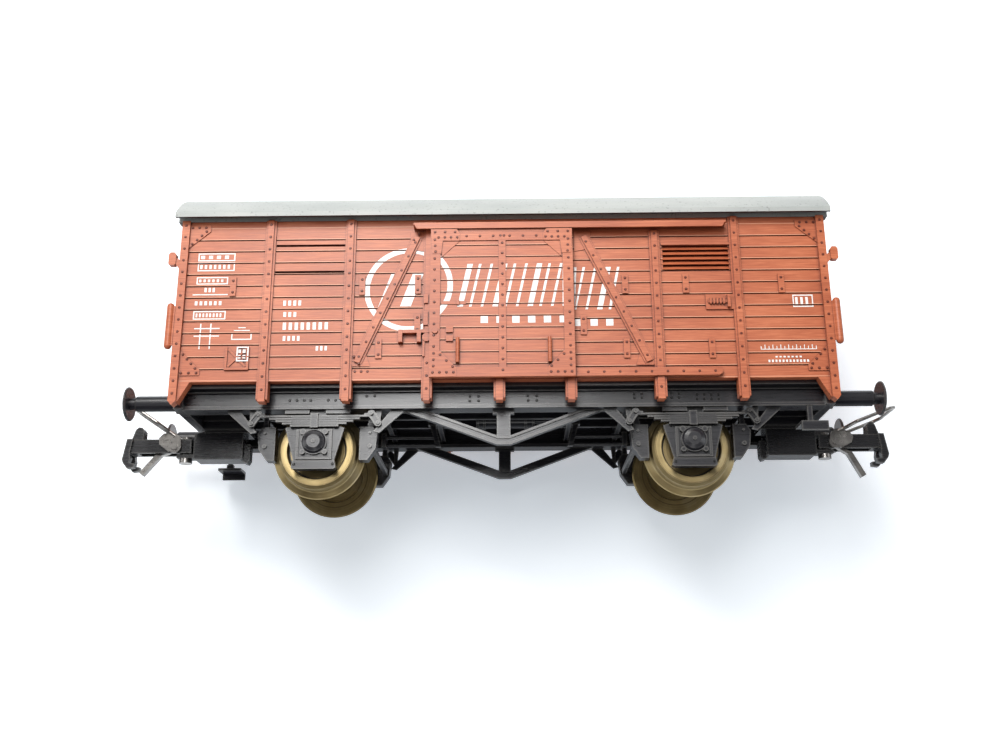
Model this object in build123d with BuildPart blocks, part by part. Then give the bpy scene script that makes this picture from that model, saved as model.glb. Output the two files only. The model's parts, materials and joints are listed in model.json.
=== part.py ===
"""A 1:87 model of a two-axle covered goods wagon with sliding doors.

+X runs along the wagon, +Y across it and +Z up. The origin is on the ground plane under the
wagon's centre, where the wheel flanges touch. All sizes are millimetres of the model itself.

The two long sides are alike when the wagon is turned half round, so side features are placed by
a side sign: +1 is the side that faces -Y, and -1 is the same thing turned half round.
"""

from build123d import *
from math import atan2, cos, degrees, hypot, radians, sin
import os

os.makedirs("parts", exist_ok=True)

# ---------------------------------------------------------------- driving dimensions
WHEELBASE = 51.7
LENGTH_OVER_BUFFERS = 105.6
BUFFER_SPACING = 20.1
BUFFER_Z = 13.2

FLANGE_R = 6.45
TREAD_R = 5.5
AXLE_Z = FLANGE_R
BACK_TO_BACK = 14.1
WHEEL_WIDTH = 2.8

WALL_X = 44.7          # outer face of the end planks
WALL_Y = 15.5          # outer face of the side planks
WALL_THICK = 1.3
WALL_BOTTOM = 14.7
WALL_TOP = 38.4
PLANK_PITCH = 1.735
PLANK_COUNT = 13

FLANGE_PROUD = 0.25    # side flanges of a rolled post stand this far off the planks
POST_PROUD = 0.5       # its middle stands this far off them
POST_WIDTH = 1.45
FOOT_BOTTOM = 11.75

DOOR_LEFT = -9.95
DOOR_RIGHT = 9.75
DOOR_BOTTOM = 14.65
DOOR_TOP = 35.7
DOOR_EARS_TOP = 36.2    # the corner plates reach above the door's top edge
DOOR_BACK = 16.55
DOOR_TRAVEL = 18.0

ROOF_X = 45.9
ROOF_Y = 17.4
ROOF_TOP = 45.4

SOLEBAR_Y = 12.9
SOLEBAR_BOTTOM = 11.5
FLOOR_BOTTOM = 14.2

COUPLER_PIVOT_X = 46.9
LOOP_PIVOT_X = 48.2
LOOP_PIVOT_Z = 9.1
LOOP_ANGLE = {"left": 34.0, "right": 21.0}   # how far each loop is raised at rest

RUNNING_FIT = 0.05

NEAR, FAR = 1, -1      # side signs


# ---------------------------------------------------------------- helpers
def block(x_span, y_span, z_span, mode=Mode.ADD):
    """A box between two values on each axis, in the part being built."""
    middle = [(a + b) / 2 for a, b in (x_span, y_span, z_span)]
    size = [abs(b - a) for a, b in (x_span, y_span, z_span)]
    with Locations(tuple(middle)):
        Box(*size, mode=mode)


def side_block(side, x_span, out_span, z_span, mode=Mode.ADD):
    """A box on a long side. out_span is measured outwards from the wagon's middle plane."""
    x_turned = sorted(side * x for x in x_span)
    y_turned = sorted(-side * out for out in out_span)
    block(x_turned, y_turned, z_span, mode)


def side_plane(side, out):
    """A sketching plane on a long side: x along the wagon, y up, normal outwards."""
    return Plane(origin=(0, -side * out, 0), x_dir=(side, 0, 0), z_dir=(0, -side, 0))


def side_plate(side, corners, out_from, out_to, mode=Mode.ADD):
    """A flat polygon plate on a long side, from one outward distance to another."""
    with BuildSketch(side_plane(side, out_from)) as outline:
        Polygon(*corners, align=None)
    extrude(outline.sketch, amount=out_to - out_from, mode=mode)


def strip_corners(start, end, width):
    """The four corners of a straight strip of a given width between two points."""
    run = hypot(end[0] - start[0], end[1] - start[1])
    across = (-(end[1] - start[1]) / run * width / 2, (end[0] - start[0]) / run * width / 2)
    return [
        (start[0] + across[0], start[1] + across[1]),
        (end[0] + across[0], end[1] + across[1]),
        (end[0] - across[0], end[1] - across[1]),
        (start[0] - across[0], start[1] - across[1]),
    ]


def rod(start, end, radius, mode=Mode.ADD):
    """A round rod between two points."""
    axis = Vector(*end) - Vector(*start)
    with BuildSketch(Plane(origin=start, z_dir=axis)) as outline:
        Circle(radius)
    extrude(outline.sketch, amount=axis.length, mode=mode)


def write(part, name):
    """Labels a finished piece and writes its STEP file."""
    part.label = name
    export_step(part, f"parts/{name}.step")


# ---------------------------------------------------------------- roof arc
SHOULDER_R = 14.9
CROWN_R = 42.1
SHOULDER_SLOPE = 12.0   # degrees of slope where the shoulder arc meets the crown arc
EAVE_LIP = 0.8
ROOF_THICK = 0.9


def roof_outline(inset):
    """Closed outline of the roof's section, drawn in y and z, moved inwards by inset."""
    crown_centre = ROOF_TOP - CROWN_R
    joint_y = CROWN_R * sin(radians(SHOULDER_SLOPE))
    joint_z = crown_centre + CROWN_R * cos(radians(SHOULDER_SLOPE))
    shoulder_y = joint_y - SHOULDER_R * sin(radians(SHOULDER_SLOPE))
    shoulder_z = joint_z - SHOULDER_R * cos(radians(SHOULDER_SLOPE))
    crown = CROWN_R - inset
    shoulder = SHOULDER_R - inset
    edge_y = ROOF_Y - inset
    edge_z = shoulder_z + (shoulder**2 - (edge_y - shoulder_y) ** 2) ** 0.5
    joint = (
        shoulder_y + shoulder * sin(radians(SHOULDER_SLOPE)),
        shoulder_z + shoulder * cos(radians(SHOULDER_SLOPE)),
    )
    half_angle = (degrees(atan2(edge_y - shoulder_y, edge_z - shoulder_z)) + SHOULDER_SLOPE) / 2
    middle = (
        shoulder_y + shoulder * sin(radians(half_angle)),
        shoulder_z + shoulder * cos(radians(half_angle)),
    )
    with BuildLine() as outline:
        ThreePointArc((-joint[0], joint[1]), (0, crown_centre + crown), joint)
        ThreePointArc(joint, middle, (edge_y, edge_z))
        Line((edge_y, edge_z), (edge_y, WALL_TOP))
        Line((edge_y, WALL_TOP), (-edge_y, WALL_TOP))
        Line((-edge_y, WALL_TOP), (-edge_y, edge_z))
        ThreePointArc((-edge_y, edge_z), (-middle[0], middle[1]), (-joint[0], joint[1]))
    return outline.line


ROOF_SECTION = Plane(origin=(0, 0, 0), x_dir=(0, 1, 0), z_dir=(1, 0, 0))


def end_section(x):
    """The roof's section plane moved along the wagon."""
    return Plane(origin=(x, 0, 0), x_dir=(0, 1, 0), z_dir=(1, 0, 0))


# ---------------------------------------------------------------- body shell
POSTS = {"a": -32.6, "b": -21.3, "d": 21.3, "e": 32.5}   # full-height rolled posts
LATCH_POST = -10.35
LATCH_POST_WIDTH = 1.25
SILL_STUBS = (-0.5, 9.2)
CORNER_INNER = 44.1
CORNER_OUTER = 45.2
GROOVE_HIGH = 0.2
GROOVE_DEEP = 0.2
TOP_RAIL = {"x": (-12.4, 31.2), "z": (36.3, 37.2)}
RAIL_WEB = 0.3
BOTTOM_RAIL = {"x": (-9.7, 29.6), "z": (14.9, 16.0), "out": 16.35}
DOORWAY = {"x": (-8.7, 8.4), "z": (16.1, 35.3)}
TALL_STRAPS = [
    (-37.5, 28.5), (-19.5, 28.5), (-17.0, 19.2), (-11.75, 22.8), (-11.75, 28.6),
    (11.1, 22.4), (17.0, 28.4), (16.9, 19.0), (25.4, 28.4), (28.5, 18.9), (38.6, 28.3),
]


def cut_plank_grooves():
    """Shallow grooves between the boards, right round the shell."""
    for board in range(1, PLANK_COUNT):
        z = WALL_BOTTOM + board * PLANK_PITCH
        with BuildSketch(Plane.XY.offset(z - GROOVE_HIGH / 2)) as outline:
            Rectangle(2 * WALL_X + 1, 2 * WALL_Y + 1)
            Rectangle(2 * (WALL_X - GROOVE_DEEP), 2 * (WALL_Y - GROOVE_DEEP), mode=Mode.SUBTRACT)
        extrude(outline.sketch, amount=GROOVE_HIGH, mode=Mode.SUBTRACT)


def add_post(side, x, width, bottom, top):
    """A rolled post: flanges against the boards and a raised middle."""
    middle = 0.58 * width
    side_block(side, (x - width / 2, x + width / 2), (WALL_Y - 0.3, WALL_Y + FLANGE_PROUD), (bottom, top))
    side_block(side, (x - middle / 2, x + middle / 2), (WALL_Y - 0.3, WALL_Y + POST_PROUD), (bottom, top))


def add_foot(side, x, width, depth=1.8):
    """The part of a post that hangs below the boards, boxed in and chamfered at its toe."""
    front = WALL_Y + FLANGE_PROUD
    back = WALL_Y + POST_PROUD - depth
    side_block(side, (x - width / 2, x + width / 2), (back, front), (FOOT_BOTTOM + 0.35, WALL_BOTTOM + 0.3))
    toe = width / 2 - 0.3
    side_block(side, (x - toe, x + toe), (back + 0.2, WALL_Y + POST_PROUD), (FOOT_BOTTOM, WALL_BOTTOM + 0.3))


def add_brace(side, top, bottom):
    """A riveted diagonal brace with a plate at each end."""
    lean = 1 if bottom[0] > top[0] else -1
    low, high = WALL_Y - 0.3, WALL_Y
    side_plate(side, strip_corners(top, bottom, 1.35), low, high + FLANGE_PROUD - 0.02)
    side_plate(side, strip_corners(top, bottom, 0.8), low, high + POST_PROUD - 0.04)
    upper = [(-1.0, 0.8), (1.35, 0.8), (1.35, -2.2), (0.0, -2.0), (-1.0, -0.6)]
    lower = [(-0.9, 2.6), (0.9, 2.3), (1.8, -0.5), (-0.9, -0.5)]
    side_plate(side, [(top[0] - lean * x, top[1] + z) for x, z in upper], low, high + 0.12)
    side_plate(side, [(bottom[0] - lean * x, bottom[1] + z) for x, z in lower], low, high + 0.12)


def add_corner(side, end):
    """A corner post with its foot, hanging bracket and the two riveted gusset plates."""
    def mirrored(corners):
        return [(end * x, z) for x, z in corners]

    inner, outer = CORNER_INNER, CORNER_OUTER
    leg = [(inner, FOOT_BOTTOM + 0.2), (inner, WALL_TOP), (outer, WALL_TOP), (outer, 12.0), (44.7, 11.4)]
    side_plate(side, mirrored(leg), WALL_Y - 1.0, WALL_Y + POST_PROUD)
    side_plate(side, mirrored([(42.5, WALL_BOTTOM), (inner, WALL_BOTTOM), (inner, 11.8)]), 14.2, WALL_Y + 0.1)
    proud = WALL_Y + 0.14
    low = [(inner, 19.2), (inner, 15.6), (41.3, 15.6), (41.3, 16.4)]
    high = [(inner, 34.4), (inner, 37.9), (41.2, 37.9), (41.2, 36.9)]
    side_plate(side, mirrored(low), WALL_Y - 0.3, proud)
    side_plate(side, mirrored(high), WALL_Y - 0.3, proud)


def add_rails(side):
    """The channel that guides the door's top edge and the bar that guides its foot."""
    x, z = TOP_RAIL["x"], TOP_RAIL["z"]
    side_block(side, x, (WALL_Y - 0.3, 17.3), (z[1] - RAIL_WEB, z[1]))
    lip = [(x[0] + 0.5, z[0]), (x[0], z[1]), (x[1], z[1]), (x[1] - 0.5, z[0])]
    side_plate(side, lip, 17.05, 17.3)
    left, right = BOTTOM_RAIL["x"]
    low, high = BOTTOM_RAIL["z"]
    bar = [(left, low), (left, high), (right, high), (right, low + 0.4), (right - 0.4, low)]
    side_plate(side, bar, WALL_Y - 0.3, BOTTOM_RAIL["out"])


LOUVRE = {"x": (22.4, 31.6), "z": (30.4, 34.1)}


def cut_vents(side):
    """Two slots left of the door and the sunk field of the louvred vent right of it."""
    for z in (34.65, 30.65):
        side_block(side, (-31.8, -22.1), (WALL_Y - 0.6, WALL_Y + 1), (z - 0.17, z + 0.17), Mode.SUBTRACT)
    side_block(side, LOUVRE["x"], (WALL_Y - 0.75, WALL_Y + 1), LOUVRE["z"], Mode.SUBTRACT)


def add_louvre_slats():
    """Five sloping slats in the near side's louvred vent, under a narrow hood."""
    left, right = LOUVRE["x"]
    low, high = LOUVRE["z"]
    slats = 5
    pitch = (high - low) / slats
    for slat in range(slats):
        z = low + slat * pitch
        slope = [(WALL_Y - 1.1, z + 0.12), (WALL_Y + 0.08, z + 0.12), (WALL_Y - 0.25, z + pitch - 0.08),
                 (WALL_Y - 1.1, z + pitch - 0.08)]
        with BuildSketch(end_section(left - 0.2)) as outline:
            Polygon(*[(-out, height) for out, height in slope], align=None)
        extrude(outline.sketch, amount=right - left + 0.4)
    side_block(NEAR, (left - 0.2, right + 0.2), (WALL_Y - 0.3, WALL_Y + 0.3), (high + 0.05, high + 0.35))


def add_small_fittings(side):
    """Straps, the door latch, the hold-open bolt and the label clip frame."""
    for x, z in TALL_STRAPS:
        side_block(side, (x - 0.42, x + 0.42), (WALL_Y - 0.3, WALL_Y + 0.22), (z - 1.4, z + 1.4))
    # latch beside the door: a bar, two legs, a boss and a hanging pin
    side_block(side, (-14.1, -9.9), (WALL_Y - 0.3, 16.3), (21.25, 21.7))
    for x in (-14.0, -11.45):
        side_block(side, (x - 0.28, x + 0.28), (WALL_Y - 0.3, 16.35), (19.95, 21.7))
    with BuildSketch(side_plane(side, WALL_Y - 0.3)) as outline:
        with Locations((-10.4, 20.6)):
            Circle(0.6)
    extrude(outline.sketch, amount=1.15)
    side_block(side, (-10.95, -10.65), (WALL_Y, 16.2), (17.9, 20.3))
    for low, high in ((25.6, 26.9), (22.4, 24.4)):
        side_block(side, (-10.85, -10.25), (WALL_Y, 16.25), (low, high))
    # bolt that holds the open door
    side_block(side, (28.0, 32.0), (WALL_Y - 0.3, WALL_Y + 0.25), (24.5, 26.7))
    side_block(side, (28.3, 31.4), (WALL_Y, WALL_Y + 0.5), (25.4, 25.85))
    for coil in range(5):
        x = 28.5 + coil * 0.45
        side_block(side, (x, x + 0.24), (WALL_Y, WALL_Y + 0.65), (25.2, 26.05))
    side_block(side, (30.9, 31.3), (WALL_Y, WALL_Y + 0.8), (24.7, 26.5))
    # label clip: a raised frame with a sunk back
    side_block(side, (-37.95, -34.65), (WALL_Y - 0.3, WALL_Y + 0.3), (16.3, 19.6))
    side_block(side, (-37.6, -35.0), (WALL_Y + 0.1, WALL_Y + 1), (16.65, 19.9), Mode.SUBTRACT)
    for start, end in (((-37.5, 16.8), (-35.1, 19.3)), ((-37.5, 19.3), (-35.1, 16.8))):
        side_plate(side, strip_corners(start, end, 0.3), WALL_Y - 0.1, WALL_Y + 0.25)


def add_end_posts(end):
    """Two rolled stanchions and the corner angles on an end wall."""
    face = end * WALL_X
    for y in (-5.2, 5.2):
        for half, proud in ((0.75, FLANGE_PROUD), (0.42, POST_PROUD)):
            block(sorted((face - end * 0.3, face + end * proud)), (y - half, y + half), (WALL_BOTTOM, 38.0))
    for sign in (-1, 1):
        y_span = sorted((sign * (WALL_Y - 1.1), sign * (WALL_Y + 0.3)))
        block(sorted((face - end * 0.3, end * CORNER_OUTER)), y_span, (12.0, WALL_TOP))


with BuildPart() as side_relief:
    # everything that stands off the near side's boards; the far side is the same turned half round
    for name, x in POSTS.items():
        # the post beside the door's parked place stops under the top rail
        top = TOP_RAIL["z"][0] if name == "d" else WALL_TOP
        add_post(NEAR, x, POST_WIDTH, WALL_BOTTOM, top)
        add_foot(NEAR, x, POST_WIDTH + 0.1)
    add_post(NEAR, LATCH_POST, LATCH_POST_WIDTH, WALL_BOTTOM, TOP_RAIL["z"][1])
    add_foot(NEAR, LATCH_POST, POST_WIDTH)
    for x in SILL_STUBS:
        add_foot(NEAR, x, POST_WIDTH + 0.1)
    add_brace(NEAR, (-11.9, 35.7), (-19.9, 17.2))
    add_brace(NEAR, (11.4, 35.6), (19.9, 17.1))
    for end in (-1, 1):
        add_corner(NEAR, end)
    add_rails(NEAR)
    add_louvre_slats()
    add_small_fittings(NEAR)

with BuildPart() as body_shell:
    with BuildSketch(Plane.XY.offset(WALL_BOTTOM)):
        Rectangle(2 * WALL_X, 2 * WALL_Y)
        Rectangle(2 * (WALL_X - WALL_THICK), 2 * (WALL_Y - WALL_THICK), mode=Mode.SUBTRACT)
    extrude(amount=WALL_TOP - WALL_BOTTOM)
    for end in (-1, 1):
        # gable that closes the end under the roof
        with BuildSketch(end_section(end * WALL_X)):
            make_face(roof_outline(ROOF_THICK + 0.05))
            Rectangle(60, 1.2, mode=Mode.SUBTRACT, align=(Align.CENTER, Align.MAX))
            with Locations((0, WALL_TOP)):
                Rectangle(2 * (WALL_Y - WALL_THICK) - 0.4, 20, mode=Mode.INTERSECT)
        extrude(amount=-end * WALL_THICK)
    cut_plank_grooves()
    for side in (NEAR, FAR):
        cut_vents(side)
    add(side_relief.part)
    add(side_relief.part.rotate(Axis.Z, 180))
    for side in (NEAR, FAR):
        side_block(side, DOORWAY["x"], (WALL_Y - WALL_THICK - 1, 16.2), DOORWAY["z"], Mode.SUBTRACT)
    for end in (-1, 1):
        add_end_posts(end)
write(body_shell.part, "body_shell")


# ---------------------------------------------------------------- roof
with BuildPart() as roof:
    with BuildSketch(end_section(-ROOF_X)):
        make_face(roof_outline(0))
    extrude(amount=2 * ROOF_X)
    # the shell is hollow over the body and open at the ends under its overhang
    with BuildSketch(end_section(-ROOF_X - 1)):
        make_face(roof_outline(ROOF_THICK))
        with Locations((0, WALL_TOP)):
            Rectangle(2 * (WALL_Y - WALL_THICK), 20, mode=Mode.INTERSECT)
    extrude(amount=2 * ROOF_X + 2, mode=Mode.SUBTRACT)
    # the eaves are relieved outside the walls, which leaves a lip along the edge
    for side in (1, -1):
        side_block(side, (-ROOF_X - 1, ROOF_X + 1), (WALL_Y + 0.05, ROOF_Y - 0.4), (WALL_TOP - 1, WALL_TOP + 0.8),
                   Mode.SUBTRACT)
write(roof.part, "roof")


# ---------------------------------------------------------------- doors
def add_door_leaf(side):
    """One planked door with its riveted frame, corner plates, gussets and hardware."""
    left, right, low, high = DOOR_LEFT, DOOR_RIGHT, DOOR_BOTTOM, DOOR_TOP
    board_face, frame_face, plate_face = 17.0, 17.17, 17.24
    side_block(side, (left, right), (DOOR_BACK, board_face), (low, high))
    for board in range(1, PLANK_COUNT):
        z = WALL_BOTTOM + board * PLANK_PITCH
        side_block(side, (left - 1, right + 1), (board_face - 0.15, board_face + 1),
                   (z - GROOVE_HIGH / 2, z + GROOVE_HIGH / 2), Mode.SUBTRACT)
    stile, rail = 1.4, 1.35
    top_rail = 1.2
    inner = board_face - 0.2
    side_block(side, (left, left + stile), (inner, frame_face), (low, high))
    side_block(side, (right - stile, right), (inner, frame_face), (low, high))
    side_block(side, (left, right), (inner, frame_face), (high - top_rail, high))
    side_block(side, (left, right), (inner, frame_face), (low, low + rail))
    side_block(side, (-0.5, 0.47), (inner, frame_face - 0.02), (low, high))
    # riveted corner plates at the top, with a plain gusset behind each
    for edge, sign in ((left, 1), (right, -1)):
        ears = DOOR_EARS_TOP
        plate = [(0, 0), (3.6, 0), (4.1, -0.7), (4.0, -1.75), (1.7, -1.75), (1.5, -3.7), (0.25, -3.7)]
        side_plate(side, [(edge + sign * x, ears + z) for x, z in plate], inner, plate_face)
        gusset = [(1.6, -1.7), (4.1, -1.7), (1.6, -4.1)]
        side_plate(side, [(edge + sign * x, ears + z) for x, z in gusset], inner, board_face + 0.08)
        foot = [(0, 0), (3.7, 0), (3.7, 1.25), (1.4, 3.7), (0, 3.7)]
        side_plate(side, [(edge + sign * x, low + z) for x, z in foot], inner, plate_face)
    # the tongue that runs in the top rail
    tongue_top = TOP_RAIL["z"][1] - RAIL_WEB - 0.15
    side_block(side, (left + 0.3, right - 0.3), (16.6, 16.95), (high - 0.2, tongue_top))
    # two grab bars, each on its two stand-offs, and the recessed handle bar
    for x in (-6.1, 6.35):
        for z in (16.85, 19.8):
            side_block(side, (x - 0.25, x + 0.25), (inner, 17.5), (z - 0.25, z + 0.25))
        with BuildSketch(Plane(origin=(side * x, -side * 17.4, 16.6))) as outline:
            Circle(0.26)
        extrude(outline.sketch, amount=3.5)
    side_block(side, (-8.4, -5.0), (inner, 17.12), (25.05, 25.5))
    side_block(side, (-6.3, -5.9), (inner, 17.3), (24.95, 25.6))
    for z in (20.1, 21.35):
        side_block(side, (-7.7, -6.75), (inner, 17.3), (z - 0.42, z + 0.42))
    with BuildSketch(side_plane(side, inner)) as outline:
        with Locations((-9.2, 21.2)):
            Circle(0.42)
    extrude(outline.sketch, amount=0.6)


with BuildPart() as door_near:
    add_door_leaf(NEAR)
write(door_near.part, "door_near")

with BuildPart() as door_far:
    add_door_leaf(FAR)
write(door_far.part, "door_far")


# ---------------------------------------------------------------- things inside the body
INSIDE_X = WALL_X - WALL_THICK - 0.1
INSIDE_Y = WALL_Y - WALL_THICK - 0.1

with BuildPart() as ballast_plate:
    block((-34, 34), (-10, 10), (14.9, 15.6))
write(ballast_plate.part, "ballast_plate")

with BuildPart() as floor_insert:
    block((-INSIDE_X, INSIDE_X), (-INSIDE_Y, INSIDE_Y), (15.6, 16.1))
    boards = 40
    for board in range(1, boards):
        x = -INSIDE_X + board * 2 * INSIDE_X / boards
        block((x - 0.06, x + 0.06), (-INSIDE_Y, INSIDE_Y), (16.0, 16.2), Mode.SUBTRACT)
write(floor_insert.part, "floor_insert")


# ---------------------------------------------------------------- grab rails and lamp irons
GRAB_X = 45.85
GRAB_Z = (19.3, 26.0)

with BuildPart() as corner_grab_rails:
    for end in (-1, 1):
        for side in (-1, 1):
            x, y = end * GRAB_X, side * 15.9
            rod((x, y, GRAB_Z[0] + 0.5), (x, y, GRAB_Z[1] - 0.5), 0.5)
            with Locations((x, y, GRAB_Z[0] + 0.5), (x, y, GRAB_Z[1] - 0.5)):
                Sphere(0.5)
            # the thin web that joins the bar to the corner post
            block(sorted((end * CORNER_OUTER, x)), (y - 0.2, y + 0.05), (GRAB_Z[0] + 0.5, GRAB_Z[1] - 0.5))
write(corner_grab_rails.part, "corner_grab_rails")

with BuildPart() as lamp_irons:
    for end in (-1, 1):
        for side in (-1, 1):
            tip = [(45.7, 31.9), (45.9, 31.7), (46.55, 31.7), (46.75, 31.9), (46.75, 33.3), (46.5, 33.6),
                   (45.95, 33.6), (45.7, 33.3)]
            arm = [(CORNER_OUTER, 31.2), (45.8, 31.9), (45.8, 32.9), (CORNER_OUTER, 32.5)]
            for corners, half in ((tip, 0.45), (arm, 0.3)):
                with BuildSketch(Plane(origin=(0, side * 15.6, 0), x_dir=(1, 0, 0), z_dir=(0, -1, 0))):
                    Polygon(*[(end * x, z) for x, z in corners], align=None)
                extrude(amount=half, both=True)
write(lamp_irons.part, "lamp_irons")


# ---------------------------------------------------------------- underframe
HEADSTOCK_X = (43.9, 45.2)
FLANGE_INNER_Y = 10.2

with BuildPart() as underframe:
    block((-INSIDE_X, INSIDE_X), (-INSIDE_Y, INSIDE_Y), (FLOOR_BOTTOM, 14.9))
    for sign in (-1, 1):
        web = sorted((sign * 12.0, sign * 12.45))
        block((-HEADSTOCK_X[0] - 0.2, HEADSTOCK_X[0] + 0.2), web, (SOLEBAR_BOTTOM, FLOOR_BOTTOM))
        flange = sorted((sign * FLANGE_INNER_Y, sign * SOLEBAR_Y))
        block((-HEADSTOCK_X[0] - 0.2, HEADSTOCK_X[0] + 0.2), flange, (SOLEBAR_BOTTOM, SOLEBAR_BOTTOM + 0.5))
        lip = sorted((sign * 12.0, sign * SOLEBAR_Y))
        block((-HEADSTOCK_X[0], HEADSTOCK_X[0]), lip, (13.85, FLOOR_BOTTOM))
        # headstock with a buffer seat at each side
        block(sorted((sign * HEADSTOCK_X[0], sign * HEADSTOCK_X[1])), (-13.3, 13.3), (11.6, 14.6))
        # longitudinals that carry the draw gear, and the cross bearers
        block((-HEADSTOCK_X[0], HEADSTOCK_X[0]), sorted((sign * 2.2, sign * 2.8)), (12.6, FLOOR_BOTTOM))
        for x in (9.6, 17.2, 34.6):
            block(sorted((sign * (x - 0.35), sign * (x + 0.35))), (-12.1, 12.1), (12.5, FLOOR_BOTTOM))
        # pads that the coupler pockets sit on
        block(sorted((sign * 37.4, sign * 44.0)), (-2.3, 2.3), (SOLEBAR_BOTTOM, FLOOR_BOTTOM))
write(underframe.part, "underframe")


# ---------------------------------------------------------------- trussed beams
TRUSS_Y = (10.7, 11.67)
TRUSS_BOTTOM = 6.65

def build_truss(side):
    """A flat-bottomed truss rod of channel section with its king post."""
    top = SOLEBAR_BOTTOM
    outer = [(-13.9, top), (-0.95, TRUSS_BOTTOM), (0.95, TRUSS_BOTTOM), (13.9, top)]
    inner = [(10.6, top), (0.7, TRUSS_BOTTOM + 1.15), (-0.7, TRUSS_BOTTOM + 1.15), (-10.6, top)]
    side_plate(side, outer + inner, *TRUSS_Y)
    groove_low = [(-12.6, top - 0.1), (-0.9, TRUSS_BOTTOM + 0.38), (0.9, TRUSS_BOTTOM + 0.38), (12.6, top - 0.1)]
    groove_high = [(11.3, top - 0.1), (0.8, TRUSS_BOTTOM + 0.82), (-0.8, TRUSS_BOTTOM + 0.82), (-11.3, top - 0.1)]
    side_plate(side, groove_low + groove_high, TRUSS_Y[1] - 0.18, TRUSS_Y[1] + 0.5, Mode.SUBTRACT)
    side_block(side, (-0.93, 0.93), (TRUSS_Y[0] + 0.1, TRUSS_Y[1] - 0.1), (TRUSS_BOTTOM + 0.9, top))
    side_block(side, (-1.5, 1.5), (TRUSS_Y[0] + 0.05, TRUSS_Y[1] - 0.05), (top - 0.5, top))


with BuildPart() as truss_near:
    build_truss(NEAR)
write(truss_near.part, "truss_near")

with BuildPart() as truss_far:
    build_truss(FAR)
write(truss_far.part, "truss_far")


# ---------------------------------------------------------------- axle guards and springs
GUARD_Y = (11.55, 12.05)
JOURNAL_R = 0.5
AXLE_TIP = 11.95
CORNERS = {
    "front_near": (-1, NEAR), "rear_near": (1, NEAR), "front_far": (-1, FAR), "rear_far": (1, FAR),
}   # each: sign along X, side sign


def build_axle_guard(end, side):
    """A guard plate with its bolted axle box, domed cover, tie bar and bearing boss."""
    x0 = side * end * WHEELBASE / 2

    def shifted(corners):
        return [(x0 + x, z) for x, z in corners]

    plate = [(-4.05, 9.05), (-3.3, 9.3), (-3.3, SOLEBAR_BOTTOM), (3.3, SOLEBAR_BOTTOM), (3.3, 9.3),
             (4.05, 9.05), (2.75, 4.4), (-2.75, 4.4)]
    side_plate(side, shifted(plate), *GUARD_Y)
    tie = [(-3.05, 3.5), (-2.85, 4.5), (2.85, 4.5), (3.05, 3.5), (2.7, 3.3), (-2.7, 3.3)]
    side_plate(side, shifted(tie), GUARD_Y[0] - 0.55, GUARD_Y[1] + 0.15)
    side_block(side, (x0 - 2.45, x0 + 2.45), (GUARD_Y[1] - 0.1, GUARD_Y[1] + 0.3), (4.6, 8.8))
    side_block(side, (x0 - 2.1, x0 + 2.1), (GUARD_Y[1] + 0.12, GUARD_Y[1] + 1), (4.9, 8.5), Mode.SUBTRACT)
    side_block(side, (x0 - 1.45, x0 + 1.45), (GUARD_Y[1] - 0.1, GUARD_Y[1] + 0.35), (5.4, 8.8))
    for x, z, radius in ((-1.5, 8.4, 0.4), (1.5, 8.4, 0.4), (-1.5, 5.6, 0.36), (1.5, 5.6, 0.36)):
        with BuildSketch(side_plane(side, GUARD_Y[1])) as outline:
            with Locations((x0 + x, z)):
                Circle(radius)
        extrude(outline.sketch, amount=0.6)
    # domed cover of the axle box
    cover = Plane(origin=(side * x0, -side * (GUARD_Y[1] + 0.2), 7.0), x_dir=(1, 0, 0), z_dir=(0, -side, 0))
    with BuildSketch(cover) as outline:
        Circle(1.75)
    extrude(outline.sketch, amount=0.3)
    with BuildSketch(cover.offset(0.3)) as outline:
        Circle(1.65)
    extrude(outline.sketch, amount=0.3, taper=40)
    with BuildSketch(cover.offset(0.6)) as outline:
        Circle(1.38)
    extrude(outline.sketch, amount=0.22, taper=65)
    with BuildSketch(cover.offset(0.6)) as outline:
        Circle(0.28)
    extrude(outline.sketch, amount=0.35)
    # bearing boss behind the plate, bored for the journal
    boss = Plane(origin=(side * x0, -side * 10.35, AXLE_Z), x_dir=(1, 0, 0), z_dir=(0, -side, 0))
    with BuildSketch(boss) as outline:
        Circle(1.3)
    extrude(outline.sketch, amount=1.4)
    with BuildSketch(boss) as outline:
        Circle(JOURNAL_R + RUNNING_FIT)
    extrude(outline.sketch, amount=1.75, mode=Mode.SUBTRACT)
    # stops over the spring
    for low, high in ((-4.1, -0.75), (1.5, 4.8)):
        side_block(side, (x0 + low, x0 + high), (GUARD_Y[1] - 0.1, 12.6), (10.95, SOLEBAR_BOTTOM))


LEAVES = [(7.1, 10.55), (6.2, 10.2), (5.3, 9.87), (4.4, 9.54), (3.3, 9.21)]   # half length, centre height
LEAF_THICK = 0.26


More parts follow.
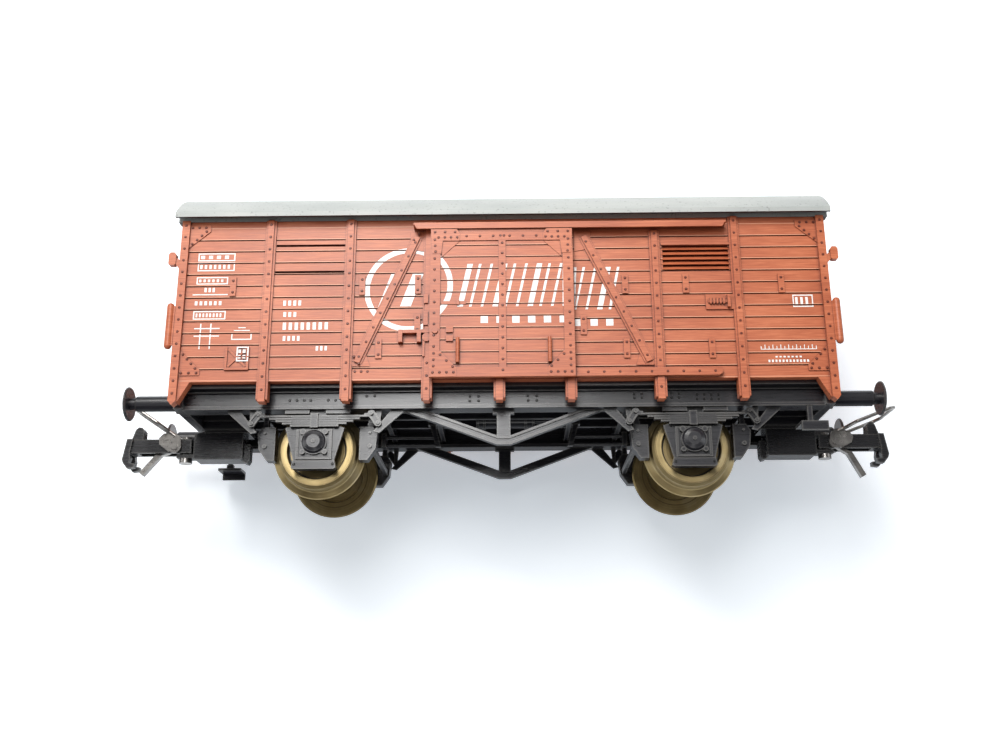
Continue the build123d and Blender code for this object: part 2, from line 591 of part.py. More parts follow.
def build_leaf_spring(end, side):
    """A stack of leaves with its buckle, and a shackle at each end."""
    x0 = side * end * WHEELBASE / 2
    for half, z in LEAVES:
        side_block(side, (x0 - half, x0 + half), (12.05, 12.72), (z - LEAF_THICK / 2, z + LEAF_THICK / 2))
    side_block(side, (x0 - 3.2, x0 + 3.2), (12.05, 12.66), (9.2, 10.5))
    side_block(side, (x0 - 0.52, x0 + 0.52), (12.05, 12.95), (8.9, 10.9))
    for hand in (-1, 1):
        inner = (x0 + hand * 7.75, 10.93)
        outer = (x0 + hand * 8.65, 9.6)
        with BuildSketch(side_plane(side, 12.1)) as outline:
            for point in (inner, outer):
                with Locations(point):
                    Circle(0.5)
            Polygon(*strip_corners(inner, outer, 1.0), align=None)
        extrude(outline.sketch, amount=0.45)
        with BuildSketch(side_plane(side, 12.4)) as outline:
            Polygon(*strip_corners(inner, outer, 0.5), align=None)
        extrude(outline.sketch, amount=0.3, mode=Mode.SUBTRACT)
        with BuildSketch(side_plane(side, 12.1)) as outline:
            for point in (inner, outer):
                with Locations(point):
                    Circle(0.27)
        extrude(outline.sketch, amount=0.65)
        side_block(side, sorted((x0 + hand * 6.8, x0 + hand * 7.6)), (12.1, 12.6), (10.45, 10.95))


for name, (end, side) in CORNERS.items():
    with BuildPart() as axle_guard:
        build_axle_guard(end, side)
    write(axle_guard.part, f"axle_guard_{name}")
    with BuildPart() as leaf_spring:
        build_leaf_spring(end, side)
    write(leaf_spring.part, f"leaf_spring_{name}")


def build_spring_hangers(side):
    """The four triangular brackets under one solebar that carry the outer shackle pins."""
    for end in (-1, 1):
        for hand in (-1, 1):
            x0 = side * end * WHEELBASE / 2
            top = SOLEBAR_BOTTOM
            strut = [(8.0, 8.5), (8.8, 8.3), (12.1, top - 0.25), (12.1, top), (10.4, top)]
            post = [(8.45, 9.0), (8.85, 9.0), (9.1, top), (8.3, top)]
            for corners, span in ((strut, (11.72, 12.05)), (post, (11.8, 12.05))):
                side_plate(side, [(x0 + hand * x, z) for x, z in corners], *span)


with BuildPart() as spring_hangers_near:
    build_spring_hangers(NEAR)
write(spring_hangers_near.part, "spring_hangers_near")

with BuildPart() as spring_hangers_far:
    build_spring_hangers(FAR)
write(spring_hangers_far.part, "spring_hangers_far")


# ---------------------------------------------------------------- wheelsets
BORE_R = 1.15
AXLE_R = 0.75
BACK_Y = BACK_TO_BACK / 2
FACE_Y = BACK_Y + WHEEL_WIDTH


def wheel_plane(end):
    """Section plane through an axle: x across the wagon, y away from the axle's line."""
    return Plane(origin=(end * WHEELBASE / 2, 0, AXLE_Z), x_dir=(0, 1, 0), z_dir=(1, 0, 0))


def axle_axis(end):
    """The line an axle turns about."""
    return Axis((end * WHEELBASE / 2, 0, AXLE_Z), (0, 1, 0))


def revolve_about_axle(end, profile):
    """Turns a profile of (across, radius) points about an axle."""
    with BuildSketch(wheel_plane(end)) as outline:
        Polygon(*profile, align=None)
    revolve(outline.sketch, axis=axle_axis(end))


def wheel_profile(hand):
    """Section of a wheel: hub, dished web, rim, coned tread and flange."""
    points = [
        (BACK_Y, BORE_R), (BACK_Y, 1.6), (BACK_Y + 0.45, 1.7), (BACK_Y + 0.45, 4.0), (BACK_Y, 4.2),
        (BACK_Y, FLANGE_R - 0.25), (BACK_Y + 0.18, FLANGE_R), (BACK_Y + 0.4, FLANGE_R - 0.12),
        (BACK_Y + 0.75, TREAD_R + 0.12), (BACK_Y + 0.95, TREAD_R), (FACE_Y - 0.35, TREAD_R - 0.1),
        (FACE_Y, TREAD_R - 0.5), (FACE_Y, 4.15), (FACE_Y - 0.12, 4.05), (FACE_Y - 0.85, 3.95),
        (FACE_Y - 0.85, 1.7), (FACE_Y - 0.2, 1.55), (FACE_Y - 0.2, BORE_R),
    ]
    return [(hand * y, r) for y, r in points]


for end, name in ((-1, "front"), (1, "rear")):
    with BuildPart() as axle:
        half = [(0, 0), (0, AXLE_R), (FACE_Y + 0.1, AXLE_R), (FACE_Y + 0.1, JOURNAL_R), (AXLE_TIP - 0.4, JOURNAL_R),
                (AXLE_TIP, 0.1), (AXLE_TIP, 0)]
        for hand in (-1, 1):
            revolve_about_axle(end, [(hand * y, r) for y, r in half])
    write(axle.part, f"axle_{name}")
    with BuildPart() as wheel_bushes:
        for hand in (-1, 1):
            ring = [(BACK_Y, AXLE_R), (BACK_Y, BORE_R), (FACE_Y - 0.2, BORE_R), (FACE_Y - 0.2, AXLE_R)]
            revolve_about_axle(end, [(hand * y, r) for y, r in ring])
    write(wheel_bushes.part, f"wheel_bushes_{name}")
    for hand, side_name in ((-1, "near"), (1, "far")):
        with BuildPart() as wheel:
            revolve_about_axle(end, wheel_profile(hand))
        write(wheel.part, f"wheel_{name}_{side_name}")


# ---------------------------------------------------------------- brake gear
SHOE_Y = (7.95, 9.8)
SHOE_TOP = AXLE_Z + 3.3


def build_brake_shoes(end):
    """Four shoes round one wheelset, each a flat-faced block clear of the tread, with two pins."""
    x0 = end * WHEELBASE / 2
    for hand in (-1, 1):
        for across in (-1, 1):
            plane = Plane(origin=(x0, across * SHOE_Y[0], AXLE_Z), x_dir=(1, 0, 0), z_dir=(0, -1, 0))
            shape = [(5.85, -1.4), (7.0, -1.4), (8.1, 0.2), (8.35, 2.4), (7.7, 3.3), (5.85, 3.3)]
            with BuildSketch(plane) as outline:
                Polygon(*[(hand * x, z) for x, z in shape], align=None)
            extrude(outline.sketch, amount=-across * (SHOE_Y[1] - SHOE_Y[0]))
            pin_y = across * (SHOE_Y[1] - 0.1)
            for z, radius in ((7.0, 0.3), (8.9, 0.2)):
                rod((x0 + hand * 7.3, pin_y, z), (x0 + hand * 7.3, pin_y + across * 0.35, z), radius)


def build_brake_hangers(end):
    """Links from the floor down to each shoe, and the beam that joins a pair of shoes."""
    x0 = end * WHEELBASE / 2
    for hand in (-1, 1):
        for across in (-1, 1):
            y_span = sorted((across * 8.4, across * 9.3))
            x = x0 + hand * 7.3
            block((x - 0.35, x + 0.35), y_span, (SHOE_TOP + 0.05, SOLEBAR_BOTTOM + 0.4))
            block(sorted((x0 + hand * 6.9, x0 + hand * 7.7)), y_span, (SHOE_TOP, SHOE_TOP + 0.6))
        x = x0 + hand * 7.6
        block((x - 0.3, x + 0.3), (-SHOE_Y[0], SHOE_Y[0]), (6.6, 7.3))


for end, name in ((-1, "front"), (1, "rear")):
    with BuildPart() as brake_shoes:
        build_brake_shoes(end)
    write(brake_shoes.part, f"brake_shoes_{name}")
    with BuildPart() as brake_hangers:
        build_brake_hangers(end)
    write(brake_hangers.part, f"brake_hangers_{name}")

with BuildPart() as brake_cylinder:
    rod((-4.1, 0, 12.95), (4.5, 0, 12.95), 1.0)
    for x in (-4.1, -3.1, 3.0, 4.1):
        rod((x, 0, 12.95), (x + 0.4, 0, 12.95), 1.2)
    rod((4.4, 0, 12.95), (7.2, 0, 12.95), 0.35)
    block((-2.5, 2.5), (-0.5, 0.5), (13.6, FLOOR_BOTTOM))
write(brake_cylinder.part, "brake_cylinder")

with BuildPart() as brake_levers:
    for hand in (-1, 1):
        x = hand * 10.6
        side_plate(1, [(x - 0.4, 12.5), (x + 0.4, 12.5), (x + 0.4 - hand * 0.9, 9.1), (x - 0.4 - hand * 0.9, 9.1)],
                   -0.3, 0.3)
        block((x - 0.6, x + 0.6), (-0.6, 0.6), (12.3, FLOOR_BOTTOM))
        rod((hand * 9.6, 0, 9.4), (hand * 17.6, 0, 9.4), 0.28)
        rod((hand * 9.9, 0, 10.6), (hand * 17.6, 0, 10.6), 0.28)
        block((sorted((hand * 17.3, hand * 18.0))), (-1.0, 1.0), (9.0, 11.0))
write(brake_levers.part, "brake_levers")


# ---------------------------------------------------------------- buffers
BUFFER_BASE = HEADSTOCK_X[1]
BUFFER_TIP = LENGTH_OVER_BUFFERS / 2
BUFFER_PROFILE = [
    (BUFFER_BASE, 0), (BUFFER_BASE, 1.45), (BUFFER_BASE + 0.45, 1.45), (BUFFER_BASE + 0.45, 1.1),
    (51.2, 1.1), (51.35, 1.0), (51.35, 0.82), (BUFFER_TIP - 0.6, 0.82), (BUFFER_TIP - 0.6, 2.25),
    (BUFFER_TIP - 0.45, 2.4), (BUFFER_TIP - 0.28, 2.4), (BUFFER_TIP - 0.1, 2.05), (BUFFER_TIP, 1.2),
    (BUFFER_TIP, 0),
]

for end, end_name in ((-1, "front"), (1, "rear")):
    for hand, side_name in ((-1, "near"), (1, "far")):
        centre = (0, hand * BUFFER_SPACING / 2, BUFFER_Z)
        with BuildPart() as buffer:
            with BuildSketch(Plane(origin=centre, x_dir=(1, 0, 0), z_dir=(0, -1, 0))):
                Polygon(*[(end * x, r) for x, r in BUFFER_PROFILE], align=None)
            revolve(axis=Axis(centre, (1, 0, 0)))
        write(buffer.part, f"buffer_{end_name}_{side_name}")


# ---------------------------------------------------------------- shunter's steps
STEP_LEFT = {NEAR: 39.9, FAR: 41.6}   # where each tread starts, along its own side


def build_step(side):
    """A folded strap with a tread and a hanging front lip, under the right-hand end of a long side."""
    left = STEP_LEFT[side]
    side_block(side, (left + 1.5, left + 2.2), (12.3, 12.75), (8.5, SOLEBAR_BOTTOM))
    side_block(side, (left, left + 3.6), (11.7, 15.0), (8.4, 8.8))
    side_block(side, (left, left + 3.6), (14.7, 15.0), (7.5, 8.8))
    side_block(side, (left + 1.3, left + 2.4), (12.2, 12.85), (8.6, 9.4))


with BuildPart() as step_near:
    build_step(NEAR)
write(step_near.part, "step_near")

with BuildPart() as step_far:
    build_step(FAR)
write(step_far.part, "step_far")


# ---------------------------------------------------------------- couplers
SHANK_TOP = 10.3
SHANK_BOTTOM = 8.25
SHANK_Y = 1.25
SHANK_WALL = 0.4
PIVOT_R = 0.42
EYE_R = 0.95
LOOP_PIN_R = 0.5
PLATE_Y = (1.35, 1.75)
LOOP_HALF_WIDTH = 3.8
LOOP_REACH = 9.6
LOOP_OFFSET = 1.35     # how far the wire lies above the line through the pivot
WIRE_R = 0.26
PLATE_SET = 27.0       # degrees between the eye plate's length and the wire's direction


def upright_plane(y):
    """A sketching plane in X and Z at a distance across the wagon; its normal is -Y."""
    return Plane(origin=(0, y, 0), x_dir=(1, 0, 0), z_dir=(0, -1, 0))


def upright_plate(end, corners, y_span, mode=Mode.ADD):
    """A flat plate in X and Z, mirrored to the named end, between two values of y."""
    low, high = sorted(y_span)
    with BuildSketch(upright_plane(high)) as outline:
        Polygon(*[(end * x, z) for x, z in corners], align=None)
    extrude(outline.sketch, amount=high - low, mode=mode)


def build_pocket(end):
    """The box under the headstock, with the tongue that the shank swivels on."""
    box = [(38.2, 7.3), (38.5, 7.15), (45.1, 7.15), (45.4, 7.4), (45.4, 11.0), (43.85, SOLEBAR_BOTTOM - 0.17),
           (38.2, SOLEBAR_BOTTOM - 0.17)]
    upright_plate(end, box, (-1.6, 1.6))
    upright_plate(end, [(37.4, SOLEBAR_BOTTOM), (37.4, 11.0), (43.85, 11.0), (43.85, SOLEBAR_BOTTOM)], (-2.0, 2.0))
    upright_plate(end, [(37.3, 7.2), (37.6, 6.7), (38.1, 6.8), (38.4, 7.6), (38.4, 9.5), (37.3, 9.5)], (-0.9, 0.9))
    upright_plate(end, [(45.2, 7.55), (48.0, 7.55), (48.0, 8.05), (45.2, 8.05)], (-1.0, 1.0))
    with BuildSketch(Plane(origin=(end * COUPLER_PIVOT_X, 0, 7.0))) as outline:
        Circle(PIVOT_R)
    extrude(outline.sketch, amount=2, mode=Mode.SUBTRACT)


def build_pivot_rivet(end):
    """The rivet that holds the shank to the pocket's tongue."""
    x = end * COUPLER_PIVOT_X
    rod((x, 0, 7.1), (x, 0, 10.6), PIVOT_R)
    rod((x, 0, 6.9), (x, 0, 7.55), 0.95)
    rod((x, 0, 10.35), (x, 0, 10.7), 0.85)


def build_shank(end):
    """An inverted channel with a pivot hole, ending in the hook head."""
    body = [(45.9, SHANK_BOTTOM), (45.9, SHANK_TOP), (54.7, SHANK_TOP), (54.7, SHANK_BOTTOM)]
    upright_plate(end, body, (-SHANK_Y, SHANK_Y))
    ceiling = SHANK_TOP - SHANK_WALL
    hollow = [(45.0, SHANK_BOTTOM - 1), (45.0, ceiling), (53.6, ceiling), (53.6, SHANK_BOTTOM - 1)]
    inner = SHANK_Y - SHANK_WALL
    upright_plate(end, hollow, (-inner, inner), Mode.SUBTRACT)
    head = [(54.4, SHANK_TOP), (54.7, SHANK_BOTTOM), (54.55, 7.4), (54.7, 6.7), (53.9, 6.6), (53.95, 6.0),
            (54.9, 5.9), (55.55, 6.7), (55.75, 7.2), (55.25, SHANK_TOP)]
    upright_plate(end, head, (-1.7, 1.7))
    # the fork that the loop's lever swings through
    upright_plate(end, [(53.0, 5.0), (53.0, 8.1), (56.0, 8.1), (56.0, 5.0)], (-0.75, 0.75), Mode.SUBTRACT)
    nose = [(54.9, SHANK_TOP - 0.1), (54.35, 11.9), (53.95, 12.25), (53.45, 12.2), (53.15, 11.8),
            (53.15, SHANK_TOP - 0.1)]
    upright_plate(end, nose, (-0.85, 0.85))
    with BuildSketch(Plane(origin=(end * COUPLER_PIVOT_X, 0, SHANK_TOP - 1))) as outline:
        Circle(PIVOT_R + RUNNING_FIT)
    extrude(outline.sketch, amount=2, mode=Mode.SUBTRACT)
    pin = (end * LOOP_PIVOT_X, LOOP_PIVOT_Z)
    with BuildSketch(upright_plane(3)) as outline:
        with Locations(pin):
            Circle(LOOP_PIN_R + RUNNING_FIT)
    extrude(outline.sketch, amount=6, mode=Mode.SUBTRACT)


def loop_point(along, above, raised):
    """A point of the loop, given along and above its arm, after the loop is raised."""
    turn = radians(raised)
    x = LOOP_PIVOT_X + along * cos(turn) - above * sin(turn)
    z = LOOP_PIVOT_Z + along * sin(turn) + above * cos(turn)
    return x, z


def build_loop(end, raised):
    """The loop: an eye plate at each side, a wire bail, and the lever below, as one bent piece."""
    pin = (end * LOOP_PIVOT_X, LOOP_PIVOT_Z)
    plate = [(-0.9, 0.5), (-0.6, 1.5), (0.3, 2.0), (1.9, 1.75), (2.5, 1.0), (2.3, 0.1), (0.8, -0.85)]
    for hand in (-1, 1):
        y_span = (hand * PLATE_Y[0], hand * PLATE_Y[1])
        upright_plate(end, [loop_point(a, b, raised - PLATE_SET) for a, b in plate], y_span)
        with BuildSketch(upright_plane(max(y_span))) as outline:
            with Locations(pin):
                Circle(EYE_R)
        extrude(outline.sketch, amount=PLATE_Y[1] - PLATE_Y[0])
        with BuildSketch(upright_plane(max(y_span))) as outline:
            with Locations(pin):
                Circle(LOOP_PIN_R)
        extrude(outline.sketch, amount=PLATE_Y[1] - PLATE_Y[0], mode=Mode.SUBTRACT)
    route = []
    for hand in (-1, 1):
        run = [(0.9, LOOP_OFFSET, 1.6), (2.1, LOOP_OFFSET, 1.75), (3.4, LOOP_OFFSET, 3.7), (8.6, LOOP_OFFSET, 3.8),
               (LOOP_REACH, LOOP_OFFSET, 3.1)]
        points = [(*loop_point(a, b, raised), hand * y) for a, b, y in run]
        points = [(end * x, y, z) for x, z, y in points]
        route = points + route if hand < 0 else route + points[::-1]
    with BuildLine() as wire:
        FilletPolyline(*route, radius=0.5)
    with BuildSketch(Plane(origin=wire.line @ 0, z_dir=wire.line % 0)) as outline:
        Circle(WIRE_R)
    sweep(outline.sketch, path=wire.line, transition=Transition.ROUND)


def build_lever(end, raised):
    """The lever that lifts the loop: a bent strip fixed on the loop's pin."""
    def lever_point(reach, drop):
        return loop_point(reach * cos(radians(drop)), reach * sin(radians(drop)), raised)

    knee = lever_point(2.75, -54)
    tip_turn = radians(raised - 84)
    tip = (knee[0] + 3.75 * cos(tip_turn), knee[1] + 3.75 * sin(tip_turn))
    hub = (LOOP_PIVOT_X, LOOP_PIVOT_Z)
    upright_plate(end, strip_corners(hub, knee, 0.5), (-0.5, 0.5))
    upright_plate(end, strip_corners(knee, tip, 0.75), (-0.5, 0.5))
    for point, radius in ((knee, 0.37), (hub, 0.65)):
        with BuildSketch(upright_plane(0.5)) as outline:
            with Locations((end * point[0], point[1])):
                Circle(radius)
        extrude(outline.sketch, amount=1)
    with BuildSketch(upright_plane(0.5)) as outline:
        with Locations((end * hub[0], hub[1])):
            Circle(LOOP_PIN_R)
    extrude(outline.sketch, amount=1, mode=Mode.SUBTRACT)


for end, name in ((-1, "left"), (1, "right")):
    with BuildPart() as coupler_pocket:
        build_pocket(end)
    write(coupler_pocket.part, f"coupler_pocket_{name}")
    with BuildPart() as coupler_rivet:
        build_pivot_rivet(end)
    write(coupler_rivet.part, f"coupler_rivet_{name}")
    with BuildPart() as coupler_shank:
        build_shank(end)
    write(coupler_shank.part, f"coupler_shank_{name}")
    with BuildPart() as coupler_loop:
        build_loop(end, LOOP_ANGLE[name])
    write(coupler_loop.part, f"coupler_loop_{name}")
    with BuildPart() as coupler_lever:
        build_lever(end, LOOP_ANGLE[name])
    write(coupler_lever.part, f"coupler_lever_{name}")
    with BuildPart() as loop_pin:
        pin_ends = [(end * LOOP_PIVOT_X, y, LOOP_PIVOT_Z) for y in (-1.95, 1.95)]
        rod(*pin_ends, LOOP_PIN_R)
    write(loop_pin.part, f"loop_pin_{name}")
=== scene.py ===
"""Looks of the model goods wagon: moulded plastic, printed marks, rivets and turned metal."""

import bmesh
import bpy
import json
import math
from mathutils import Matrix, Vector


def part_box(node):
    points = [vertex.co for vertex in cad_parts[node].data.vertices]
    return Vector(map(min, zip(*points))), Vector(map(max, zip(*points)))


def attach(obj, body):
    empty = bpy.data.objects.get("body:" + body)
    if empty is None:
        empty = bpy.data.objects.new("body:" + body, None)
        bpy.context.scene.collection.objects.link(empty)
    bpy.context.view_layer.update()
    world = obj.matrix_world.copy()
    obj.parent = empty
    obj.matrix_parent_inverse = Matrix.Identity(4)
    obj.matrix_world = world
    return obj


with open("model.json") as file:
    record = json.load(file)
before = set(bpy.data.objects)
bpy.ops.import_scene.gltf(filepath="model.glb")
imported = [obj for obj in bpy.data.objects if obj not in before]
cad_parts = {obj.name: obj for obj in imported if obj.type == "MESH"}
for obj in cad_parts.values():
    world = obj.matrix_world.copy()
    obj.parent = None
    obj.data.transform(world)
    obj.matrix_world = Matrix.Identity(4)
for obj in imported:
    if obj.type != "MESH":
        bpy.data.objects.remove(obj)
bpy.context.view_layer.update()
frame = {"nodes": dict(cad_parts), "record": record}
nodes = frame["nodes"]
slot_of_node = {part["node"]: part["material_slot"] for part in frame["record"]["subparts"]}

MM = 0.001
NEAR, FAR = -1, 1          # the side that faces -Y, and the one that faces +Y

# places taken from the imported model
wheel_low, wheel_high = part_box("wheel_rear_near")
AXLE_X = (wheel_low[0] + wheel_high[0]) / 2
AXLE_Z = (wheel_low[2] + wheel_high[2]) / 2

# the boarding of the body, in metres
WALL_Y = 15.5 * MM
DOOR_FACE_Y = 17.0 * MM
END_X = 44.7 * MM
BOARD_FOOT = 14.7 * MM
BOARD_PITCH = 1.735 * MM
BOARDS = 13
GROOVE_HALF = 0.1 * MM

BLACK = (0, 0, 0)
WHITE = (1, 1, 1)

# noise scales along X, Y and Z, per metre
GRAIN = (260, 900, 5200)
MOTTLE = (90, 90, 160)
FINE = (2600, 2600, 9000)


# ---------------------------------------------------------------- node helpers
class Shader:
    """A material with short ways to add nodes and join them."""

    def __init__(self, name):
        self.material = bpy.data.materials.new(name)
        self.material.use_nodes = True
        self.tree = self.material.node_tree
        self.surface = self.tree.nodes["Principled BSDF"]
        self.position = self.add("ShaderNodeTexCoord").outputs["Object"]

    def add(self, kind, **settings):
        node = self.tree.nodes.new(kind)
        for key, value in settings.items():
            setattr(node, key, value)
        return node

    def join(self, source, target):
        self.tree.links.new(source, target)

    def feed(self, socket, value):
        """Sets a socket to a number or links it to another socket."""
        if isinstance(value, bpy.types.NodeSocket):
            self.join(value, socket)
        else:
            socket.default_value = value

    def maths(self, operation, a, b=0.0, c=0.0):
        node = self.add("ShaderNodeMath", operation=operation)
        for socket, value in zip(node.inputs, (a, b, c)):
            self.feed(socket, value)
        return node.outputs[0]

    def weighted(self, first, second, share):
        """A share of the first value and the rest of the second."""
        return self.maths("ADD", self.maths("MULTIPLY", first, share),
                          self.maths("MULTIPLY", second, round(1 - share, 6)))

    def coordinates(self):
        """The object position's three numbers."""
        parts = self.add("ShaderNodeSeparateXYZ")
        self.join(self.position, parts.inputs[0])
        return parts.outputs

    def scaled(self, factors):
        """The object position multiplied by a factor on each axis."""
        node = self.add("ShaderNodeVectorMath", operation="MULTIPLY")
        self.join(self.position, node.inputs[0])
        node.inputs[1].default_value = factors
        return node.outputs[0]

    def noise(self, factors, detail=3.0, roughness=0.55):
        node = self.add("ShaderNodeTexNoise")
        self.join(self.scaled(factors), node.inputs["Vector"])
        node.inputs["Scale"].default_value = 1.0
        node.inputs["Detail"].default_value = detail
        node.inputs["Roughness"].default_value = roughness
        return node.outputs["Fac"]

    def ramp(self, factor, stops):
        node = self.add("ShaderNodeValToRGB")
        self.join(factor, node.inputs[0])
        elements = node.color_ramp.elements
        while len(elements) < len(stops):
            elements.new(0.5)
        for element, (place, colour) in zip(elements, stops):
            element.position = place
            element.color = (*colour, 1.0)
        return node.outputs[0]

    def span(self, factor, low, high):
        """Maps 0..1 to low..high."""
        node = self.add("ShaderNodeMapRange")
        self.join(factor, node.inputs["Value"])
        node.inputs["To Min"].default_value = low
        node.inputs["To Max"].default_value = high
        return node.outputs[0]

    def mix(self, factor, first, second, blend="MIX"):
        node = self.add("ShaderNodeMix", data_type="RGBA", blend_type=blend)
        self.feed(node.inputs[0], factor)
        for socket, value in ((node.inputs[6], first), (node.inputs[7], second)):
            self.feed(socket, value if isinstance(value, bpy.types.NodeSocket) else (*value, 1.0))
        return node.outputs[2]

    def occlusion_shade(self, reach):
        """1 in the open and near 0 in corners narrower than reach; used to paint shade into corners."""
        node = self.add("ShaderNodeAmbientOcclusion", samples=6)
        node.inputs["Distance"].default_value = reach
        return node.outputs["AO"]

    def undersides(self):
        """1 on faces that look down by 30 degrees or more below level, and 0 elsewhere."""
        parts = self.add("ShaderNodeSeparateXYZ")
        self.join(self.add("ShaderNodeNewGeometry").outputs["Normal"], parts.inputs[0])
        return self.maths("LESS_THAN", parts.outputs[2], -0.5)

    def arrises(self, reach):
        """1 on flat faces and near 0 along outer edges."""
        node = self.add("ShaderNodeAmbientOcclusion", samples=4, inside=True)
        node.inputs["Distance"].default_value = reach
        return node.outputs["AO"]

    def bump(self, height, strength, distance):
        node = self.add("ShaderNodeBump")
        self.join(height, node.inputs["Height"])
        node.inputs["Strength"].default_value = strength
        node.inputs["Distance"].default_value = distance
        self.join(node.outputs[0], self.surface.inputs["Normal"])

    def finish(self, colour, roughness, metallic=0.0, specular=0.5):
        self.feed(self.surface.inputs["Base Color"], colour)
        self.feed(self.surface.inputs["Roughness"], roughness)
        self.surface.inputs["Metallic"].default_value = metallic
        self.surface.inputs["Specular IOR Level"].default_value = specular
        return self.material


STREAK_SHARE = 0.62        # of the tone; mottle makes up the rest
COARSE_SHARE = 0.7         # of the relief; fine noise makes up the rest
FACE_SLACK = 0.02 * MM     # how near a point lies to a boarded face to count as on it
# how strongly the painted highlight along outer edges shows
EDGE_HIGHLIGHT_SHARE = 0.7
# how much shine faces that look down lose, as painted shade
UNDERSIDE_SHADE_DULLING = 0.85
# colour of the painted highlight on the boards' arris
RED_ARRIS_HIGHLIGHT = (0.92, 0.52, 0.34)


def grained_tone(shader, dark, middle, light):
    """Lengthwise streaks over a soft mottle: the streaks, and a colour made from both."""
    streaks = shader.noise(GRAIN, detail=4.0, roughness=0.65)
    mottle = shader.noise(MOTTLE, detail=2.0)
    mixed = shader.weighted(streaks, mottle, STREAK_SHARE)
    return streaks, shader.ramp(mixed, [(0.32, dark), (0.5, middle), (0.68, light)])


def grained_relief(shader, streaks, strength, distance):
    """A bump made of the streaks and a finer noise."""
    fine = shader.noise(FINE, detail=2.0)
    shader.bump(shader.weighted(streaks, fine, COARSE_SHARE), strength, distance)


def boarded_plastic(name, dark, middle, light, corner_shade):
    """Red plastic of the body: fine grain, painted shade in its corners, and at each board's foot a painted
    highlight on the arris with a fine dark line above it.
    """
    shader = Shader(name)
    streaks, tone = grained_tone(shader, dark, middle, light)
    along, across, height = shader.coordinates()
    above_foot = shader.maths("SUBTRACT", height, BOARD_FOOT)
    share = shader.maths("FRACT", shader.maths("DIVIDE", above_foot, BOARD_PITCH))
    out = shader.maths("ABSOLUTE", across)
    end = shader.maths("ABSOLUTE", along)
    on_boards = shader.maths("COMPARE", out, WALL_Y, FACE_SLACK)
    on_boards = shader.maths("MAXIMUM", on_boards, shader.maths("COMPARE", out, DOOR_FACE_Y, FACE_SLACK))
    on_boards = shader.maths("MAXIMUM", on_boards, shader.maths("COMPARE", end, END_X, FACE_SLACK))
    # painted highlight on each board's arris just above the groove, then a fine dark line above it
    arris = shader.ramp(share, [(0.06, BLACK), (0.075, WHITE), (0.11, WHITE), (0.13, BLACK)])
    line = shader.ramp(share, [(0.13, BLACK), (0.15, WHITE), (0.175, WHITE), (0.2, BLACK)])
    for stripe, strength, colour in ((arris, 0.55, RED_ARRIS_HIGHLIGHT), (line, 0.45, dark)):
        shown = shader.maths("MULTIPLY", shader.maths("MULTIPLY", stripe, on_boards), strength)
        tone = shader.mix(shown, tone, colour)
    # painted shade: darker in corners and grooves, from ambient occlusion
    shade = shader.ramp(shader.occlusion_shade(0.8 * MM), [(0.32, corner_shade), (0.82, WHITE)])
    colour = shader.mix(1.0, tone, shade, blend="MULTIPLY")
    grained_relief(shader, streaks, 0.4, 0.04 * MM)
    return shader.finish(colour, shader.span(streaks, 0.36, 0.52))


def moulded_plastic(name, tones, corner_shade, rough=(0.34, 0.5), grain=0.5, specular=0.5, edge=None):
    """Injection-moulded plastic with lengthwise grain, painted shade in its corners, and a painted highlight
    along its outer edges if asked.
    """
    shader = Shader(name)
    streaks, tone = grained_tone(shader, *tones)
    # painted shade: darker in corners and recesses, from ambient occlusion
    shade = shader.ramp(shader.occlusion_shade(0.9 * MM), [(0.25, corner_shade), (0.8, WHITE)])
    colour = shader.mix(1.0, tone, shade, blend="MULTIPLY")
    if edge is not None:
        # painted highlight: outer edges are lightened towards the edge colour
        edge_highlight = shader.ramp(shader.arrises(0.26 * MM), [(0.4, WHITE), (0.92, BLACK)])
        colour = shader.mix(shader.maths("MULTIPLY", edge_highlight, EDGE_HIGHLIGHT_SHARE), colour, edge)
    grained_relief(shader, streaks, grain, 0.05 * MM)
    material = shader.finish(colour, shader.span(streaks, *rough), specular=specular)
    if edge is not None:
        # painted shade: faces that look down get much less shine, so they stay dark
        dulled = shader.maths("MULTIPLY", shader.undersides(), UNDERSIDE_SHADE_DULLING * specular)
        gloss = shader.maths("SUBTRACT", specular, dulled)
        shader.feed(shader.surface.inputs["Specular IOR Level"], gloss)
    return material


SPECK = (0.72, 0.72, 0.72)
ROOF_CORNER_SHADE = (0.35, 0.35, 0.36)
EAVE_UNDERSIDE_SHADE = (0.02, 0.02, 0.022)


def speckled_paint(name, dark, light):
    """Sprayed paint with an orange-peel skin and scattered dust, and painted shade in its corners and under
    the eaves.
    """
    shader = Shader(name)
    peel = shader.noise((3800, 3800, 3800), detail=3.0)
    cloud = shader.noise((70, 160, 160), detail=3.0)
    tone = shader.ramp(cloud, [(0.35, dark), (0.65, light)])
    dust = shader.noise((2400, 2400, 2400), detail=1.0)
    specks = shader.ramp(dust, [(0.28, SPECK), (0.36, WHITE)])
    # painted shade: darker in corners, from ambient occlusion
    shade = shader.ramp(shader.occlusion_shade(0.8 * MM), [(0.2, ROOF_CORNER_SHADE), (0.75, WHITE)])
    colour = shader.mix(1.0, shader.mix(1.0, tone, specks, "MULTIPLY"), shade, "MULTIPLY")
    # painted shade: the eaves' undersides, and all faces that look down, are painted dark
    colour = shader.mix(shader.undersides(), colour, EAVE_UNDERSIDE_SHADE)
    shader.bump(peel, 0.3, 0.04 * MM)
    return shader.finish(colour, shader.span(peel, 0.42, 0.62))


BRASS_DARK = (0.27, 0.20, 0.09)
BRASS = (0.46, 0.36, 0.18)
BRASS_LIGHT = (0.58, 0.49, 0.31)
BRASS_RING = (0.13, 0.095, 0.045)
BRASS_CORNER_SHADE = (0.35, 0.3, 0.26)
GROOVE_BLACK = (0.02, 0.018, 0.014)
DISH_Y = 8.4 * MM                  # faces further out than this belong to the dish, inside its rim
DISH_R = 4.02 * MM
DISH_GROOVE_R = 3.8 * MM
TURNED_LINES = (4.9 * MM, 2.9 * MM)
TURNED_LINE_HALF = 0.07 * MM


